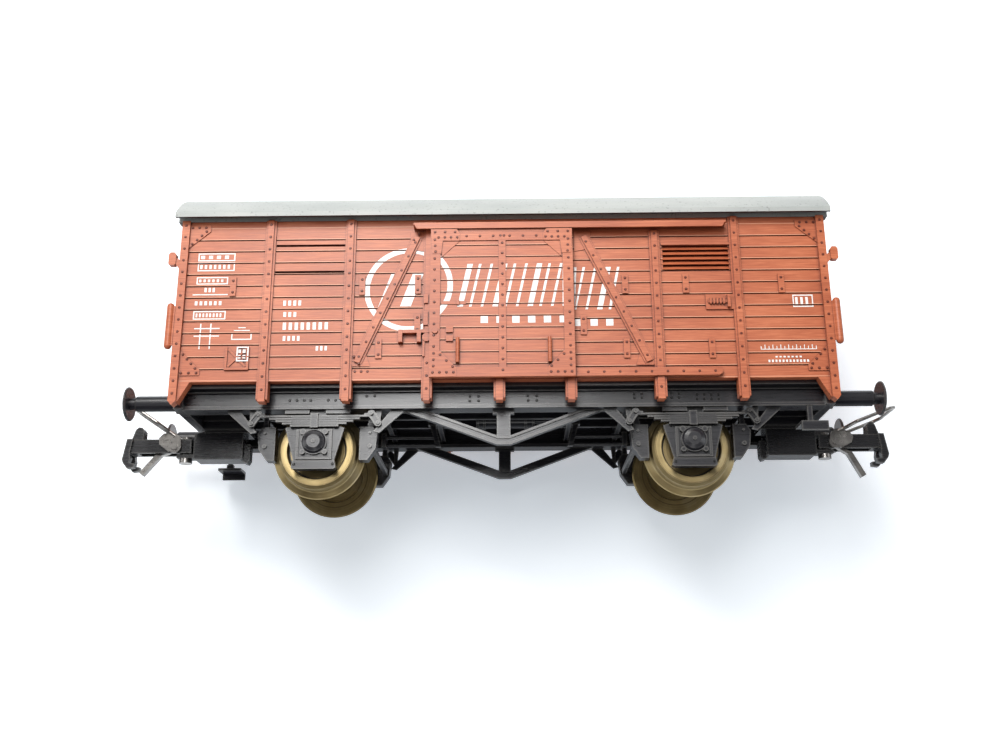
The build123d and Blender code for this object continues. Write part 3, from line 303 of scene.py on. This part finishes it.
def turned_wheel(name, axle_x):
    """Turned brass-coloured metal with lathe rings and painted shade in its corners; the dish within a black
    groove is a darker copy of the metal, as painted shade and a painted dark reflection.
    """
    shader = Shader(name)
    along, across, height = shader.coordinates()
    ahead = shader.maths("SUBTRACT", along, axle_x)
    above = shader.maths("SUBTRACT", height, AXLE_Z)
    squares = [shader.maths("MULTIPLY", leg, leg) for leg in (ahead, above)]
    radius = shader.maths("SQRT", shader.maths("ADD", *squares))
    place = shader.add("ShaderNodeCombineXYZ")
    shader.join(shader.maths("MULTIPLY", radius, 5200), place.inputs[0])
    shader.join(shader.maths("MULTIPLY", across, 3000), place.inputs[1])
    rings = shader.add("ShaderNodeTexNoise")
    shader.join(place.outputs[0], rings.inputs["Vector"])
    rings.inputs["Scale"].default_value = 1.0
    rings.inputs["Detail"].default_value = 3.0
    tarnish = shader.noise((220, 220, 220), detail=3.0)
    metal = shader.ramp(tarnish, [(0.3, BRASS_DARK), (0.55, BRASS), (0.75, BRASS_LIGHT)])
    metal = shader.mix(shader.maths("MULTIPLY", rings.outputs["Fac"], 0.6), metal, BRASS_RING)
    for line_radius in TURNED_LINES:
        line = shader.maths("COMPARE", radius, line_radius, TURNED_LINE_HALF)
        metal = shader.mix(shader.maths("MULTIPLY", line, 0.7), metal, BRASS_RING)
    out = shader.maths("ABSOLUTE", across)
    inside_rim = shader.maths("LESS_THAN", radius, DISH_R)
    dished = shader.maths("MULTIPLY", inside_rim, shader.maths("GREATER_THAN", out, DISH_Y))
    # painted shade and painted dark reflection: the dish inside the rim is a darker copy of the metal
    dish_shade_and_reflection = shader.mix(0.55, metal, BRASS_RING)
    colour = shader.mix(dished, metal, dish_shade_and_reflection)
    groove = shader.maths("MULTIPLY", dished, shader.maths("GREATER_THAN", radius, DISH_GROOVE_R))
    colour = shader.mix(groove, colour, GROOVE_BLACK)
    # painted shade: darker in corners, from ambient occlusion
    shade = shader.ramp(shader.occlusion_shade(0.7 * MM), [(0.3, BRASS_CORNER_SHADE), (0.8, WHITE)])
    colour = shader.mix(1.0, colour, shade, blend="MULTIPLY")
    shader.bump(rings.outputs["Fac"], 0.4, 0.05 * MM)
    metallic = shader.maths("SUBTRACT", 0.9, shader.maths("MULTIPLY", groove, 0.8))
    shader.feed(shader.surface.inputs["Metallic"], metallic)
    shader.feed(shader.surface.inputs["Base Color"], colour)
    shader.feed(shader.surface.inputs["Roughness"], shader.span(rings.outputs["Fac"], 0.3, 0.5))
    return shader.material


def drawn_steel(name, dark, light, rough=(0.2, 0.38)):
    """Drawn or stamped steel with fine scratches and a little staining."""
    shader = Shader(name)
    scratches = shader.noise((900, 6500, 2200), detail=4.0)
    stain = shader.noise((500, 500, 500), detail=3.0)
    colour = shader.ramp(stain, [(0.3, dark), (0.7, light)])
    shader.bump(scratches, 0.2, 0.02 * MM)
    return shader.finish(colour, shader.span(scratches, *rough), metallic=1.0)


PRINT_THIN = (0.70, 0.42, 0.36)
PRINT_DULL = (0.80, 0.78, 0.76)
PRINT_FULL = (0.88, 0.88, 0.87)


def printed_white(name):
    """White pad print, a little thin in places so that the red shows through."""
    shader = Shader(name)
    thin = shader.noise((2600, 2600, 5200), detail=4.0, roughness=0.7)
    colour = shader.ramp(thin, [(0.26, PRINT_THIN), (0.4, PRINT_DULL), (0.7, PRINT_FULL)])
    shader.bump(thin, 0.2, 0.02 * MM)
    return shader.finish(colour, shader.span(thin, 0.35, 0.5))


RED_DARK = (0.33, 0.072, 0.027)
RED = (0.45, 0.118, 0.048)
RED_LIGHT = (0.60, 0.185, 0.082)
RED_CORNER_SHADE = (0.20, 0.09, 0.05)

# dark, middle and light of each plastic's grain
# the rivets' red is far darker than the body's: painted shade, so each head reads as a dark dot
RIVET_SHADED_TONES = ((0.10, 0.020, 0.009), (0.14, 0.028, 0.013), (0.2, 0.045, 0.022))
FRAME_TONES = ((0.008, 0.008, 0.011), (0.014, 0.014, 0.018), (0.026, 0.025, 0.029))
# the bolt heads are darker than the frame: painted shade, so each reads as a dark dot on the web
BOLT_SHADED_TONES = ((0.002, 0.002, 0.003), (0.003, 0.003, 0.004), (0.005, 0.005, 0.006))
COUPLER_TONES = ((0.009, 0.009, 0.011), (0.015, 0.015, 0.018), (0.025, 0.025, 0.028))
FLOOR_TONES = ((0.09, 0.08, 0.07), (0.13, 0.115, 0.1), (0.18, 0.16, 0.14))
BUSH_TONES = ((0.02, 0.02, 0.02), (0.03, 0.03, 0.03), (0.04, 0.04, 0.04))
# colour of the painted highlight along the outer edges of black parts
BLACK_EDGE_HIGHLIGHT = (0.17, 0.165, 0.155)

body_red = boarded_plastic("body_red", RED_DARK, RED, RED_LIGHT, RED_CORNER_SHADE)
rivet_red_shaded = moulded_plastic("rivet_red_shaded", RIVET_SHADED_TONES, RED_CORNER_SHADE)
roof_grey = speckled_paint("roof_grey", (0.36, 0.38, 0.37), (0.44, 0.455, 0.44))
frame_black = moulded_plastic("frame_black", FRAME_TONES, (0.15, 0.15, 0.18), rough=(0.22, 0.36), grain=0.2,
                              specular=0.7, edge=BLACK_EDGE_HIGHLIGHT)
bolt_black_shaded = moulded_plastic("bolt_black_shaded", BOLT_SHADED_TONES, (0.2, 0.2, 0.2), rough=(0.3, 0.4), grain=0.1)
coupler_black = moulded_plastic("coupler_black", COUPLER_TONES, (0.18, 0.18, 0.2), rough=(0.2, 0.34),
                                grain=0.2, specular=0.7, edge=BLACK_EDGE_HIGHLIGHT)
floor_grey = moulded_plastic("floor_grey", FLOOR_TONES, (0.4, 0.4, 0.4))
bush_plastic = moulded_plastic("bush_plastic", BUSH_TONES, (0.4, 0.4, 0.4))
axle_steel = drawn_steel("axle_steel", (0.35, 0.34, 0.33), (0.6, 0.59, 0.57))
loop_steel = drawn_steel("loop_steel", (0.20, 0.19, 0.18), (0.42, 0.40, 0.38))
ballast_steel = drawn_steel("ballast_steel", (0.3, 0.29, 0.28), (0.5, 0.49, 0.48), rough=(0.35, 0.55))
print_white = printed_white("print_white")
front_wheels = turned_wheel("wheel_metal_front", -AXLE_X)
rear_wheels = turned_wheel("wheel_metal_rear", AXLE_X)

material_of_slot = {
    "body_red": body_red,
    "roof_grey": roof_grey,
    "frame_black": frame_black,
    "coupler_black": coupler_black,
    "floor_grey": floor_grey,
    "bush_plastic": bush_plastic,
    "axle_steel": axle_steel,
    "loop_steel": loop_steel,
    "ballast_steel": ballast_steel,
}


def dress_nodes():
    """Gives every CAD node its material."""
    for name, node in nodes.items():
        slot = slot_of_node[name]
        if slot == "wheel_metal":
            material = front_wheels if "front" in name else rear_wheels
        else:
            material = material_of_slot[slot]
        for place in node.material_slots:
            place.link = "OBJECT"
            place.material = material


dress_nodes()


# ---------------------------------------------------------------- mesh helpers
def new_piece(name, mesh, material, body):
    """Makes an object from a bmesh and lets it ride on a body."""
    data = bpy.data.meshes.new(name)
    bmesh.ops.recalc_face_normals(mesh, faces=mesh.faces)
    mesh.to_mesh(data)
    mesh.free()
    piece = bpy.data.objects.new(name, data)
    bpy.context.scene.collection.objects.link(piece)
    data.materials.append(material)
    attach(piece, body)
    return piece


def side_point(side, u, out, z):
    """A point on a long side: u is towards the viewer's right when that side is faced."""
    return Vector((u if side == NEAR else -u, side * out, z))


RIVET_R = 0.2 * MM
SMALL_RIVET_R = 0.19 * MM
STRAP_RIVET_R = 0.21 * MM
BOLT_R = 0.22 * MM
HEAD_SEGMENTS = 10
HEAD_LEVELS = ((1.0, -0.1), (0.92, 0.22), (0.55, 0.5))      # spread and rise of each ring, in radii


def add_rivet(mesh, side, u, out, z, radius):
    """A low domed rivet head standing on a side."""
    rings = []
    for spread, rise in HEAD_LEVELS:
        ring = []
        for step in range(HEAD_SEGMENTS):
            turn = 2 * math.pi * step / HEAD_SEGMENTS
            ring.append(mesh.verts.new(side_point(
                side, u + radius * spread * math.cos(turn), out + radius * rise,
                z + radius * spread * math.sin(turn))))
        rings.append(ring)
    for lower, upper in zip(rings, rings[1:]):
        for step in range(HEAD_SEGMENTS):
            after = (step + 1) % HEAD_SEGMENTS
            mesh.faces.new((lower[step], lower[after], upper[after], upper[step]))
    mesh.faces.new(rings[-1])
    mesh.faces.new(rings[0][::-1])


def rivet_row(mesh, side, start, end, count, out, radius=RIVET_R):
    """Rivets spread evenly from one (u, z) to another, both in millimetres."""
    for step in range(count):
        share = step / max(1, count - 1)
        u = (start[0] + (end[0] - start[0]) * share) * MM
        z = (start[1] + (end[1] - start[1]) * share) * MM
        add_rivet(mesh, side, u, out, z, radius)


# ---------------------------------------------------------------- rivets of the body
# faces that carry rivets
POST_FACE = WALL_Y + 0.5 * MM
BRACE_FACE = WALL_Y + 0.46 * MM
GUSSET_FACE = WALL_Y + 0.19 * MM
STRAP_FACE = WALL_Y + 0.22 * MM
FOOT_RAIL_FACE = WALL_Y + 0.85 * MM
DOOR_PLATE_FACE = 17.24 * MM
DOOR_FRAME_FACE = DOOR_PLATE_FACE - 0.07 * MM
DOOR_STRAP_FACE = DOOR_PLATE_FACE - 0.09 * MM

# places along the side and above the flange tips, in millimetres
POST_PLACES = (-32.6, -21.3, 21.3, 32.5)
SHORT_POST = -10.35
CORNER_POST = 44.65
POST_FOOT = 13.4
CORNER_POST_FOOT = 13.0
POST_HEAD = 37.7
RIVETS_PER_POST = 14
BRACE_ROWS = (((-12.2, 34.8), (-19.6, 18.0)), ((11.7, 34.7), (19.6, 17.9)))
BRACE_PLATE_RIVETS = ((-11.7, 36.1), (-12.4, 35.2), (-19.6, 17.0), (-20.3, 18.0))
STRAPS = (
    (-37.5, 28.5), (-19.5, 28.5), (-17.0, 19.2), (-11.75, 22.8), (-11.75, 28.6),
    (11.1, 22.4), (17.0, 28.4), (16.9, 19.0), (25.4, 28.4), (28.5, 18.9), (38.6, 28.3),
)
STRAP_HALF = 0.85          # from a strap's middle to its rivets
DOOR_LEFT = -9.95
DOOR_RIGHT = 9.75
DOOR_FOOT = 14.65
DOOR_TOP = 35.7
EARS_TOP = 36.2            # top of the door's corner plates


def post_rivets(mesh, side):
    """Rows up the posts of one side."""
    for u in POST_PLACES:
        rivet_row(mesh, side, (u, POST_FOOT), (u, POST_HEAD), RIVETS_PER_POST, POST_FACE)
    rivet_row(mesh, side, (SHORT_POST, POST_FOOT), (SHORT_POST, 17.0), 3, POST_FACE)
    for u in (-CORNER_POST, CORNER_POST):
        rivet_row(mesh, side, (u, CORNER_POST_FOOT), (u, POST_HEAD), RIVETS_PER_POST + 1, POST_FACE)


def gusset_rivets(mesh, side, hand):
    """On the corner plates at one end of a side: a row along the board and one along the slope."""
    for start, end, count in (
            ((41.9, 37.5), (43.8, 37.5), 3), ((41.8, 36.9), (43.7, 35.0), 4),
            ((41.7, 15.95), (43.8, 15.95), 3), ((41.9, 16.6), (43.7, 18.6), 4)):
        rivet_row(mesh, side, (hand * start[0], start[1]), (hand * end[0], end[1]), count, GUSSET_FACE,
                  SMALL_RIVET_R)


def body_rivets():
    """Rivets on posts, braces, corner plates, straps and rails of both sides."""
    mesh = bmesh.new()
    for side in (NEAR, FAR):
        post_rivets(mesh, side)
        for start, end in BRACE_ROWS:
            rivet_row(mesh, side, start, end, 9, BRACE_FACE, SMALL_RIVET_R)
        for hand in (-1, 1):
            gusset_rivets(mesh, side, hand)
        for u, z in STRAPS:
            for offset in (-STRAP_HALF, STRAP_HALF):
                add_rivet(mesh, side, u * MM, STRAP_FACE, (z + offset) * MM, STRAP_RIVET_R)
        # the foot rail that the door slides along, and the board left of the door
        rivet_row(mesh, side, (11.5, 15.45), (28.6, 15.45), 9, FOOT_RAIL_FACE, SMALL_RIVET_R)
        rivet_row(mesh, side, (-21.0, 16.0), (-18.4, 16.0), 4, WALL_Y, SMALL_RIVET_R)
        for u, z in BRACE_PLATE_RIVETS:
            add_rivet(mesh, side, u * MM, BRACE_FACE, z * MM, SMALL_RIVET_R)
    return new_piece("body_rivets", mesh, rivet_red_shaded, "wagon")


# rows on a door's left edge as (in from the edge, height) at start and end, and a count
EAR_ROWS = (((0.6, -0.45), (3.4, -0.45), 3), ((1.1, -1.25), (3.7, -1.25), 4), ((0.6, -1.6), (0.7, -3.4), 3))
TOP_ROW = ((5.0, -0.55), (8.7, -0.55), 3)
FOOT_ROWS = (((0.5, 0.6), (3.3, 0.6), 4), ((0.6, 1.5), (0.6, 3.3), 3), ((1.5, 3.1), (3.2, 1.4), 3))


def door_rivets(side, body):
    """Rivets on one door's frame, corner plates and centre strap."""
    mesh = bmesh.new()

    def row(edge, hand, level, places, face):
        """A row measured inwards from one edge of the door and up from a level."""
        (in0, up0), (in1, up1), count = places
        rivet_row(mesh, side, (edge + hand * in0, level + up0), (edge + hand * in1, level + up1), count, face)

    for edge, hand in ((DOOR_LEFT, 1), (DOOR_RIGHT, -1)):
        stile = edge + hand * 0.6
        rivet_row(mesh, side, (stile, DOOR_FOOT + 4.3), (stile, DOOR_TOP - 3.9), 9, DOOR_FRAME_FACE)
        for places in EAR_ROWS:
            row(edge, hand, EARS_TOP, places, DOOR_PLATE_FACE)
        row(edge, hand, DOOR_TOP, TOP_ROW, DOOR_FRAME_FACE)
        for places in FOOT_ROWS:
            row(edge, hand, DOOR_FOOT, places, DOOR_PLATE_FACE)
    rivet_row(mesh, side, (0, DOOR_FOOT + 0.9), (0, DOOR_TOP - 1.6), 13, DOOR_STRAP_FACE)
    rivet_row(mesh, side, (-0.25, DOOR_TOP - 0.5), (0.25, DOOR_TOP - 0.5), 2, DOOR_STRAP_FACE)
    return new_piece(f"{body}_rivets", mesh, rivet_red_shaded, body)


body_rivets()
door_rivets(NEAR, "door_near")
door_rivets(FAR, "door_far")


# ---------------------------------------------------------------- rivets and bolts of the underframe
SOLEBAR_WEB = 12.45 * MM
LOW_BOLTS = (-29.4, -28.4, -27.4, -26.5, -24.1, -23.1, 18.0, 19.0, 23.1, 24.1)      # millimetres along
HIGH_BOLTS = (-43.6, -42.6, -18.8, -17.7, 17.95, 19.0, 23.1, 24.1)
# an axle guard's bolts: millimetres along from the axle, out and up, and the head's radius
GUARD_BOLTS = ((2.95, 12.05, 9.0, RIVET_R), (2.6, 12.2, 3.95, BOLT_R))


def underframe_bolts():
    """Bolt heads along the solebars and on the axle guards."""
    mesh = bmesh.new()
    for side in (NEAR, FAR):
        for places, z in ((LOW_BOLTS, 12.85), (HIGH_BOLTS, 13.4)):
            for u in places:
                add_rivet(mesh, side, u * MM, SOLEBAR_WEB, z * MM, BOLT_R)
        for z in (12.6, 13.25):
            for start, end, count in ((26.6, 29.5, 4), (-4.6, -3.4, 2), (3.4, 4.6, 2)):
                rivet_row(mesh, side, (start, z), (end, z), count, SOLEBAR_WEB, BOLT_R)
        for axle in (-AXLE_X, AXLE_X):
            for hand in (-1, 1):
                for along, out, up, radius in GUARD_BOLTS:
                    add_rivet(mesh, side, axle + hand * along * MM, out * MM, up * MM, radius)
    return new_piece("underframe_bolts", mesh, bolt_black_shaded, "wagon")


underframe_bolts()


# ---------------------------------------------------------------- printed marks
def clip_band(points, low, high):
    """The part of a convex polygon of (u, z) that lies between two heights."""
    for limit, keep_above in ((low, True), (high, False)):
        kept = []
        for index, point in enumerate(points):
            other = points[(index + 1) % len(points)]
            inside = point[1] >= limit if keep_above else point[1] <= limit
            other_inside = other[1] >= limit if keep_above else other[1] <= limit
            if inside:
                kept.append(point)
            if inside != other_inside:
                share = (limit - point[1]) / (other[1] - point[1])
                kept.append((point[0] + (other[0] - point[0]) * share, limit))
        points = kept
        if len(points) < 3:
            return []
    return points


PRINT_THICK = 0.03 * MM
PRINT_SUNK = 0.01 * MM


def print_cells(mesh, side, out, cells):
    """Thin raised print made of convex cells in millimetres, left out over the board grooves."""
    for cell in cells:
        cell = [(u * MM, z * MM) for u, z in cell]
        for board in range(BOARDS):
            low = BOARD_FOOT + board * BOARD_PITCH + GROOVE_HALF
            high = BOARD_FOOT + (board + 1) * BOARD_PITCH - GROOVE_HALF
            part = clip_band(cell, low, high)
            if len(part) < 3:
                continue
            back = [mesh.verts.new(side_point(side, u, out - PRINT_SUNK, z)) for u, z in part]
            face = [mesh.verts.new(side_point(side, u, out + PRINT_THICK, z)) for u, z in part]
            mesh.faces.new(face)
            mesh.faces.new(back[::-1])
            for index in range(len(part)):
                after = (index + 1) % len(part)
                mesh.faces.new((back[index], back[after], face[after], face[index]))


def bar(u0, z0, u1, z1, lean=0.0):
    """A rectangle between two corners, leaning right by lean times its height."""
    shift = lean * (z1 - z0)
    return [(u0, z0), (u1, z0), (u1 + shift, z1), (u0 + shift, z1)]


def box_outline(u0, z0, u1, z1, width):
    """The four sides of a hollow box."""
    return [
        bar(u0, z0, u1, z0 + width), bar(u0, z1 - width, u1, z1),
        bar(u0, z0 + width, u0 + width, z1 - width), bar(u1 - width, z0 + width, u1, z1 - width),
    ]


def ring(u, z, inner, outer, steps=72):
    """A ring made of short cells."""
    cells = []
    for step in range(steps):
        cell = []
        for turned, radii in ((step, (inner, outer)), (step + 1, (outer, inner))):
            angle = 2 * math.pi * turned / steps
            for radius in radii:
                cell.append((u + radius * math.cos(angle), z + radius * math.sin(angle)))
        cells.append(cell)
    return cells


BADGE_MIDDLE = (-13.0, 27.9)
BADGE_INNER, BADGE_OUTER = 5.45, 6.2
BADGE_BARS = (-17.2, -14.2)
BADGE_BAR_WIDTH = 1.5
BADGE_BAR_FOOT, BADGE_BAR_TOP = 25.4, 30.4
BADGE_LEAN = 0.35
HATCH_START = -6.2
HATCH_PITCH = 1.6
HATCH_STROKES = 14
HATCH_WIDE, HATCH_NARROW = 0.75, 0.35
HATCH_FOOT, HATCH_TOP = 24.7, 31.0
HATCH_LEAN = 0.22
SQUARES = 9
SQUARES_START = -3.0
SQUARES_PITCH = 2.15
SQUARES_FOOT = 22.3
SQUARE_SIDE = 1.0


def livery():
    """A plain ring with two leaning bars, a row of leaning hatch strokes and a row of squares."""
    cells = ring(*BADGE_MIDDLE, BADGE_INNER, BADGE_OUTER)
    for start in BADGE_BARS:
        cells.append(bar(start, BADGE_BAR_FOOT, start + BADGE_BAR_WIDTH, BADGE_BAR_TOP, lean=BADGE_LEAN))
    for step in range(HATCH_STROKES):
        start = HATCH_START + step * HATCH_PITCH
        width = HATCH_WIDE if step % 3 == 0 else HATCH_NARROW
        cells.append(bar(start, HATCH_FOOT, start + width, HATCH_TOP, lean=HATCH_LEAN))
    for step in range(SQUARES):
        start = SQUARES_START + step * SQUARES_PITCH
        cells.append(bar(start, SQUARES_FOOT, start + SQUARE_SIDE, SQUARES_FOOT + SQUARE_SIDE))
    return cells


RULE = 0.16                # width of a panel's outline and of the load grid's lines
BOX_INSET = 0.35


def ruled_box(u0, z0, u1, z1, strokes):
    """An outlined box with a row of short upright strokes in it."""
    cells = box_outline(u0, z0, u1, z1, RULE)
    pitch = (u1 - u0 - 2 * BOX_INSET) / strokes
    for step in range(strokes):
        start = u0 + BOX_INSET + step * pitch
        cells.append(bar(start, z0 + BOX_INSET, start + 0.5 * pitch, z1 - BOX_INSET))
    return cells


def stroke_row(u0, z0, u1, z1, strokes):
    """A row of short upright strokes without a frame."""
    pitch = (u1 - u0) / strokes
    return [bar(u0 + step * pitch, z0, u0 + (step + 0.55) * pitch, z1) for step in range(strokes)]


def end_panels():
    """Ruled boxes and strokes in place of the data panels at the left-hand end."""
    cells = ruled_box(-42.7, 30.9, -37.5, 32.2, 7)
    cells += ruled_box(-42.7, 32.4, -37.5, 33.6, 4)
    cells += ruled_box(-42.7, 28.9, -38.3, 30.0, 6)
    cells.append(bar(-43.1, 27.3, -38.2, 27.45))
    cells += stroke_row(-41.5, 27.75, -39.8, 28.4, 3)
    cells += stroke_row(-42.7, 25.8, -38.7, 26.4, 6)
    cells += ruled_box(-42.8, 23.7, -38.3, 24.95, 8)
    return cells


def load_grid():
    """Two level lines crossed by two upright ones, which are broken at the crossings."""
    lines = (21.2, 22.3)
    cells = [bar(-42.5, z, -39.0, z + RULE) for z in lines]
    for u in (-41.7, -40.3):
        for low, high in ((19.4, lines[0]), (lines[0] + RULE, lines[1]), (lines[1] + RULE, 23.1)):
            cells.append(bar(u, low, u + RULE, high))
    return cells


def small_tray():
    """A shallow tray with two lines over it."""
    return [
        bar(-37.3, 20.7, -34.5, 20.85), bar(-37.3, 20.85, -37.15, 21.6), bar(-34.65, 20.85, -34.5, 21.6),
        bar(-37.0, 22.0, -34.8, 22.12), bar(-36.4, 22.4, -35.4, 22.52),
    ]


def number_strokes():
    """Short strokes in place of the running numbers."""
    cells = stroke_row(-30.4, 25.65, -27.6, 26.4, 4)
    cells += stroke_row(-30.3, 24.0, -28.2, 24.7, 3)
    cells += stroke_row(-30.3, 22.1, -23.7, 23.15, 8)
    cells += stroke_row(-30.2, 20.5, -27.6, 21.2, 4)
    cells += stroke_row(-25.6, 19.05, -23.8, 19.7, 3)
    return cells


RULER_LEFT = 35.1
RULER_TOP = 18.75
RULER_LINE = 0.1
RULER_TICKS = 15
RULER_PITCH = 7.5 / (RULER_TICKS - 1)
LONG_TICK, SHORT_TICK = 0.6, 0.4


def right_hand_marks():
    """A framed box, and a ruler over two rows of strokes, at the right-hand end."""
    cells = ruled_box(40.0, 24.8, 42.8, 26.6, 3)
    cells.append(bar(RULER_LEFT, RULER_TOP - RULER_LINE, 42.7, RULER_TOP))
    for step in range(RULER_TICKS):
        u = RULER_LEFT + step * RULER_PITCH
        tick = LONG_TICK if step % 2 else SHORT_TICK
        cells.append(bar(u, RULER_TOP, u + RULER_LINE, RULER_TOP + tick))
    cells += stroke_row(37.0, 17.5, 40.8, 17.72, 7)
    cells += stroke_row(36.0, 16.85, 41.7, 17.2, 12)
    return cells


def data_marks():
    """The small marks at the two ends of a side."""
    return end_panels() + load_grid() + small_tray() + number_strokes() + right_hand_marks()


CLIP_FACE = WALL_Y + 0.3 * MM


def clip_print():
    """The white half of the label clip's lattice."""
    return box_outline(-36.35, 17.5, -34.7, 19.6, 0.18) + [
        bar(-36.1, 17.9, -35.75, 18.4), bar(-35.5, 17.9, -35.1, 18.4),
        bar(-36.1, 18.7, -35.75, 19.2), bar(-35.5, 18.7, -35.1, 19.2),
    ]


STILE = 1.4                # width of the door's frame, which carries no print
DOOR_GAP = 0.2             # bare strip of wall beside the door


def split_at_door(cells, part):
    """The cells that lie on the door, or those that lie beside it."""
    left, right = DOOR_LEFT + STILE, DOOR_RIGHT - STILE
    wall_left, wall_right = DOOR_LEFT - DOOR_GAP, DOOR_RIGHT + DOOR_GAP
    on_door = []
    beside = []
    for cell in cells:
        low, high = min(u for u, _ in cell), max(u for u, _ in cell)
        if low >= left and high <= right:
            on_door.append(cell)
        elif high <= wall_left or low >= wall_right:
            beside.append(cell)
        else:
            on_door.append([(min(max(u, left), right), z) for u, z in cell])
            if high > DOOR_RIGHT:
                beside.append([(max(u, wall_right), z) for u, z in cell])
            if low < DOOR_LEFT:
                beside.append([(min(u, wall_left), z) for u, z in cell])
    return on_door if part == "door" else beside


def print_side(side, door):
    """All the print of one long side, in two pieces."""
    mesh = bmesh.new()
    print_cells(mesh, side, WALL_Y, data_marks())
    print_cells(mesh, side, CLIP_FACE, clip_print())
    print_cells(mesh, side, WALL_Y, split_at_door(livery(), "wall"))
    new_piece(f"print_{door}_wall", mesh, print_white, "wagon")
    mesh = bmesh.new()
    print_cells(mesh, side, DOOR_FACE_Y, split_at_door(livery(), "door"))
    new_piece(f"print_{door}_leaf", mesh, print_white, door)


print_side(NEAR, "door_near")
print_side(FAR, "door_far")


# ---------------------------------------------------------------- stage
GLOW_COLOUR = (0.84, 0.92, 1.0)


def one_sided(name, colour, glow):
    """A matte surface that is only there when seen from its front, with a faint glow of its own."""
    shader = Shader(name)
    mottle = shader.noise((3, 3, 3), detail=2.0)
    darker = tuple(0.985 * channel for channel in colour)
    tone = shader.ramp(mottle, [(0.3, darker), (0.7, colour)])
    shader.finish(tone, 0.75, specular=0.2)
    shader.surface.inputs["Emission Color"].default_value = (*GLOW_COLOUR, 1.0)
    shader.surface.inputs["Emission Strength"].default_value = glow
    through = shader.add("ShaderNodeBsdfTransparent")
    facing = shader.add("ShaderNodeNewGeometry").outputs["Backfacing"]
    blend = shader.add("ShaderNodeMixShader")
    shader.join(facing, blend.inputs[0])
    shader.join(shader.surface.outputs[0], blend.inputs[1])
    shader.join(through.outputs[0], blend.inputs[2])
    output = shader.tree.nodes["Material Output"]
    shader.join(blend.outputs[0], output.inputs["Surface"])
    return shader.material


def stage_sheet(name, corners, material):
    """A flat sheet whose front is the side its corners turn anticlockwise on."""
    mesh = bpy.data.meshes.new(name)
    mesh.from_pydata(corners, [], [(0, 1, 2, 3)])
    sheet = bpy.data.objects.new(name, mesh)
    bpy.context.scene.collection.objects.link(sheet)
    mesh.materials.append(material)
    return sheet


PALE = (0.90, 0.93, 0.96)
STAGE = 1.2               # half the width of a sheet, in metres
REST_Y = 17.8 * MM        # the sheet just behind the wagon's far side
BACKDROP_GLOW = 0.42
CORNERS = ((-STAGE, -STAGE), (STAGE, -STAGE), (STAGE, STAGE), (-STAGE, STAGE))
pale = one_sided("pale_sheet", PALE, 0.0)
bright = one_sided("bright_sheet", PALE, BACKDROP_GLOW)
floor = stage_sheet("floor", [(a, b, 0) for a, b in CORNERS], pale)
# the floor is only looked at: it throws no light or shadow on the sheet behind the wagon
floor.visible_diffuse = False
floor.visible_glossy = False
floor.visible_shadow = False
stage_sheet("backdrop", [(a, REST_Y, b) for a, b in CORNERS], bright)


# ---------------------------------------------------------------- light and camera
def area_light(name, place, target, size, power, colour):
    """A soft square light at a place, aimed at a target, in metres."""
    data = bpy.data.lights.new(name, "AREA")
    data.size = size
    data.energy = power
    data.color = colour
    light = bpy.data.objects.new(name, data)
    bpy.context.scene.collection.objects.link(light)
    light.location = place
    aim = Vector(target) - Vector(place)
    light.rotation_euler = aim.to_track_quat("-Z", "Y").to_euler()


MIDDLE = (0, 0, 22 * MM)
WARM = (1.0, 0.985, 0.95)
COOL = (0.95, 0.97, 1.0)
WORLD_LIGHT = 0.22
# name, place and size in metres, watts, colour; the two sheens are seen mirrored in the side wall
for name, place, size, power, colour in (
        ("key", (-0.06, -0.40, 0.34), 0.26, 0.8, WARM),
        ("sheen", (-0.06, -0.22, 0.155), 0.08, 0.38, WARM),
        ("low_sheen", (-0.03, -0.26, 0.085), 0.09, 0.24, WHITE),
        ("left_fill", (-0.55, -0.40, 0.05), 0.30, 0.6, WHITE),
        ("right_fill", (0.60, -0.35, 0.05), 0.30, 0.5, COOL),
        ("low_fill", (0.0, -0.40, -0.30), 0.12, 0.12, WHITE),
        ("back_fill", (0.2, 0.6, 0.45), 0.5, 1.5, WHITE)):
    area_light(name, place, MIDDLE, size, power, colour)

world = bpy.data.worlds.new("studio")
world.use_nodes = True
world.node_tree.nodes["Background"].inputs["Color"].default_value = (*WHITE, 1)
world.node_tree.nodes["Background"].inputs["Strength"].default_value = WORLD_LIGHT
bpy.context.scene.world = world
bpy.context.scene.view_settings.view_transform = "Standard"

CAMERA_PLACE = (1.0 * MM, -157.9 * MM, -28.9 * MM)
CAMERA_TURN = (107.26, 0.29, 0.66)      # degrees about X, Y and Z
CAMERA_LENS = 39.63                     # millimetres on a 36 mm wide sensor
camera_data = bpy.data.cameras.new("camera")
camera_data.lens = CAMERA_LENS
camera_data.sensor_width = 36.0
camera_data.clip_start = 0.005
camera = bpy.data.objects.new("camera", camera_data)
camera.location = CAMERA_PLACE
camera.rotation_euler = [math.radians(angle) for angle in CAMERA_TURN]
bpy.context.scene.collection.objects.link(camera)
bpy.context.scene.camera = camera
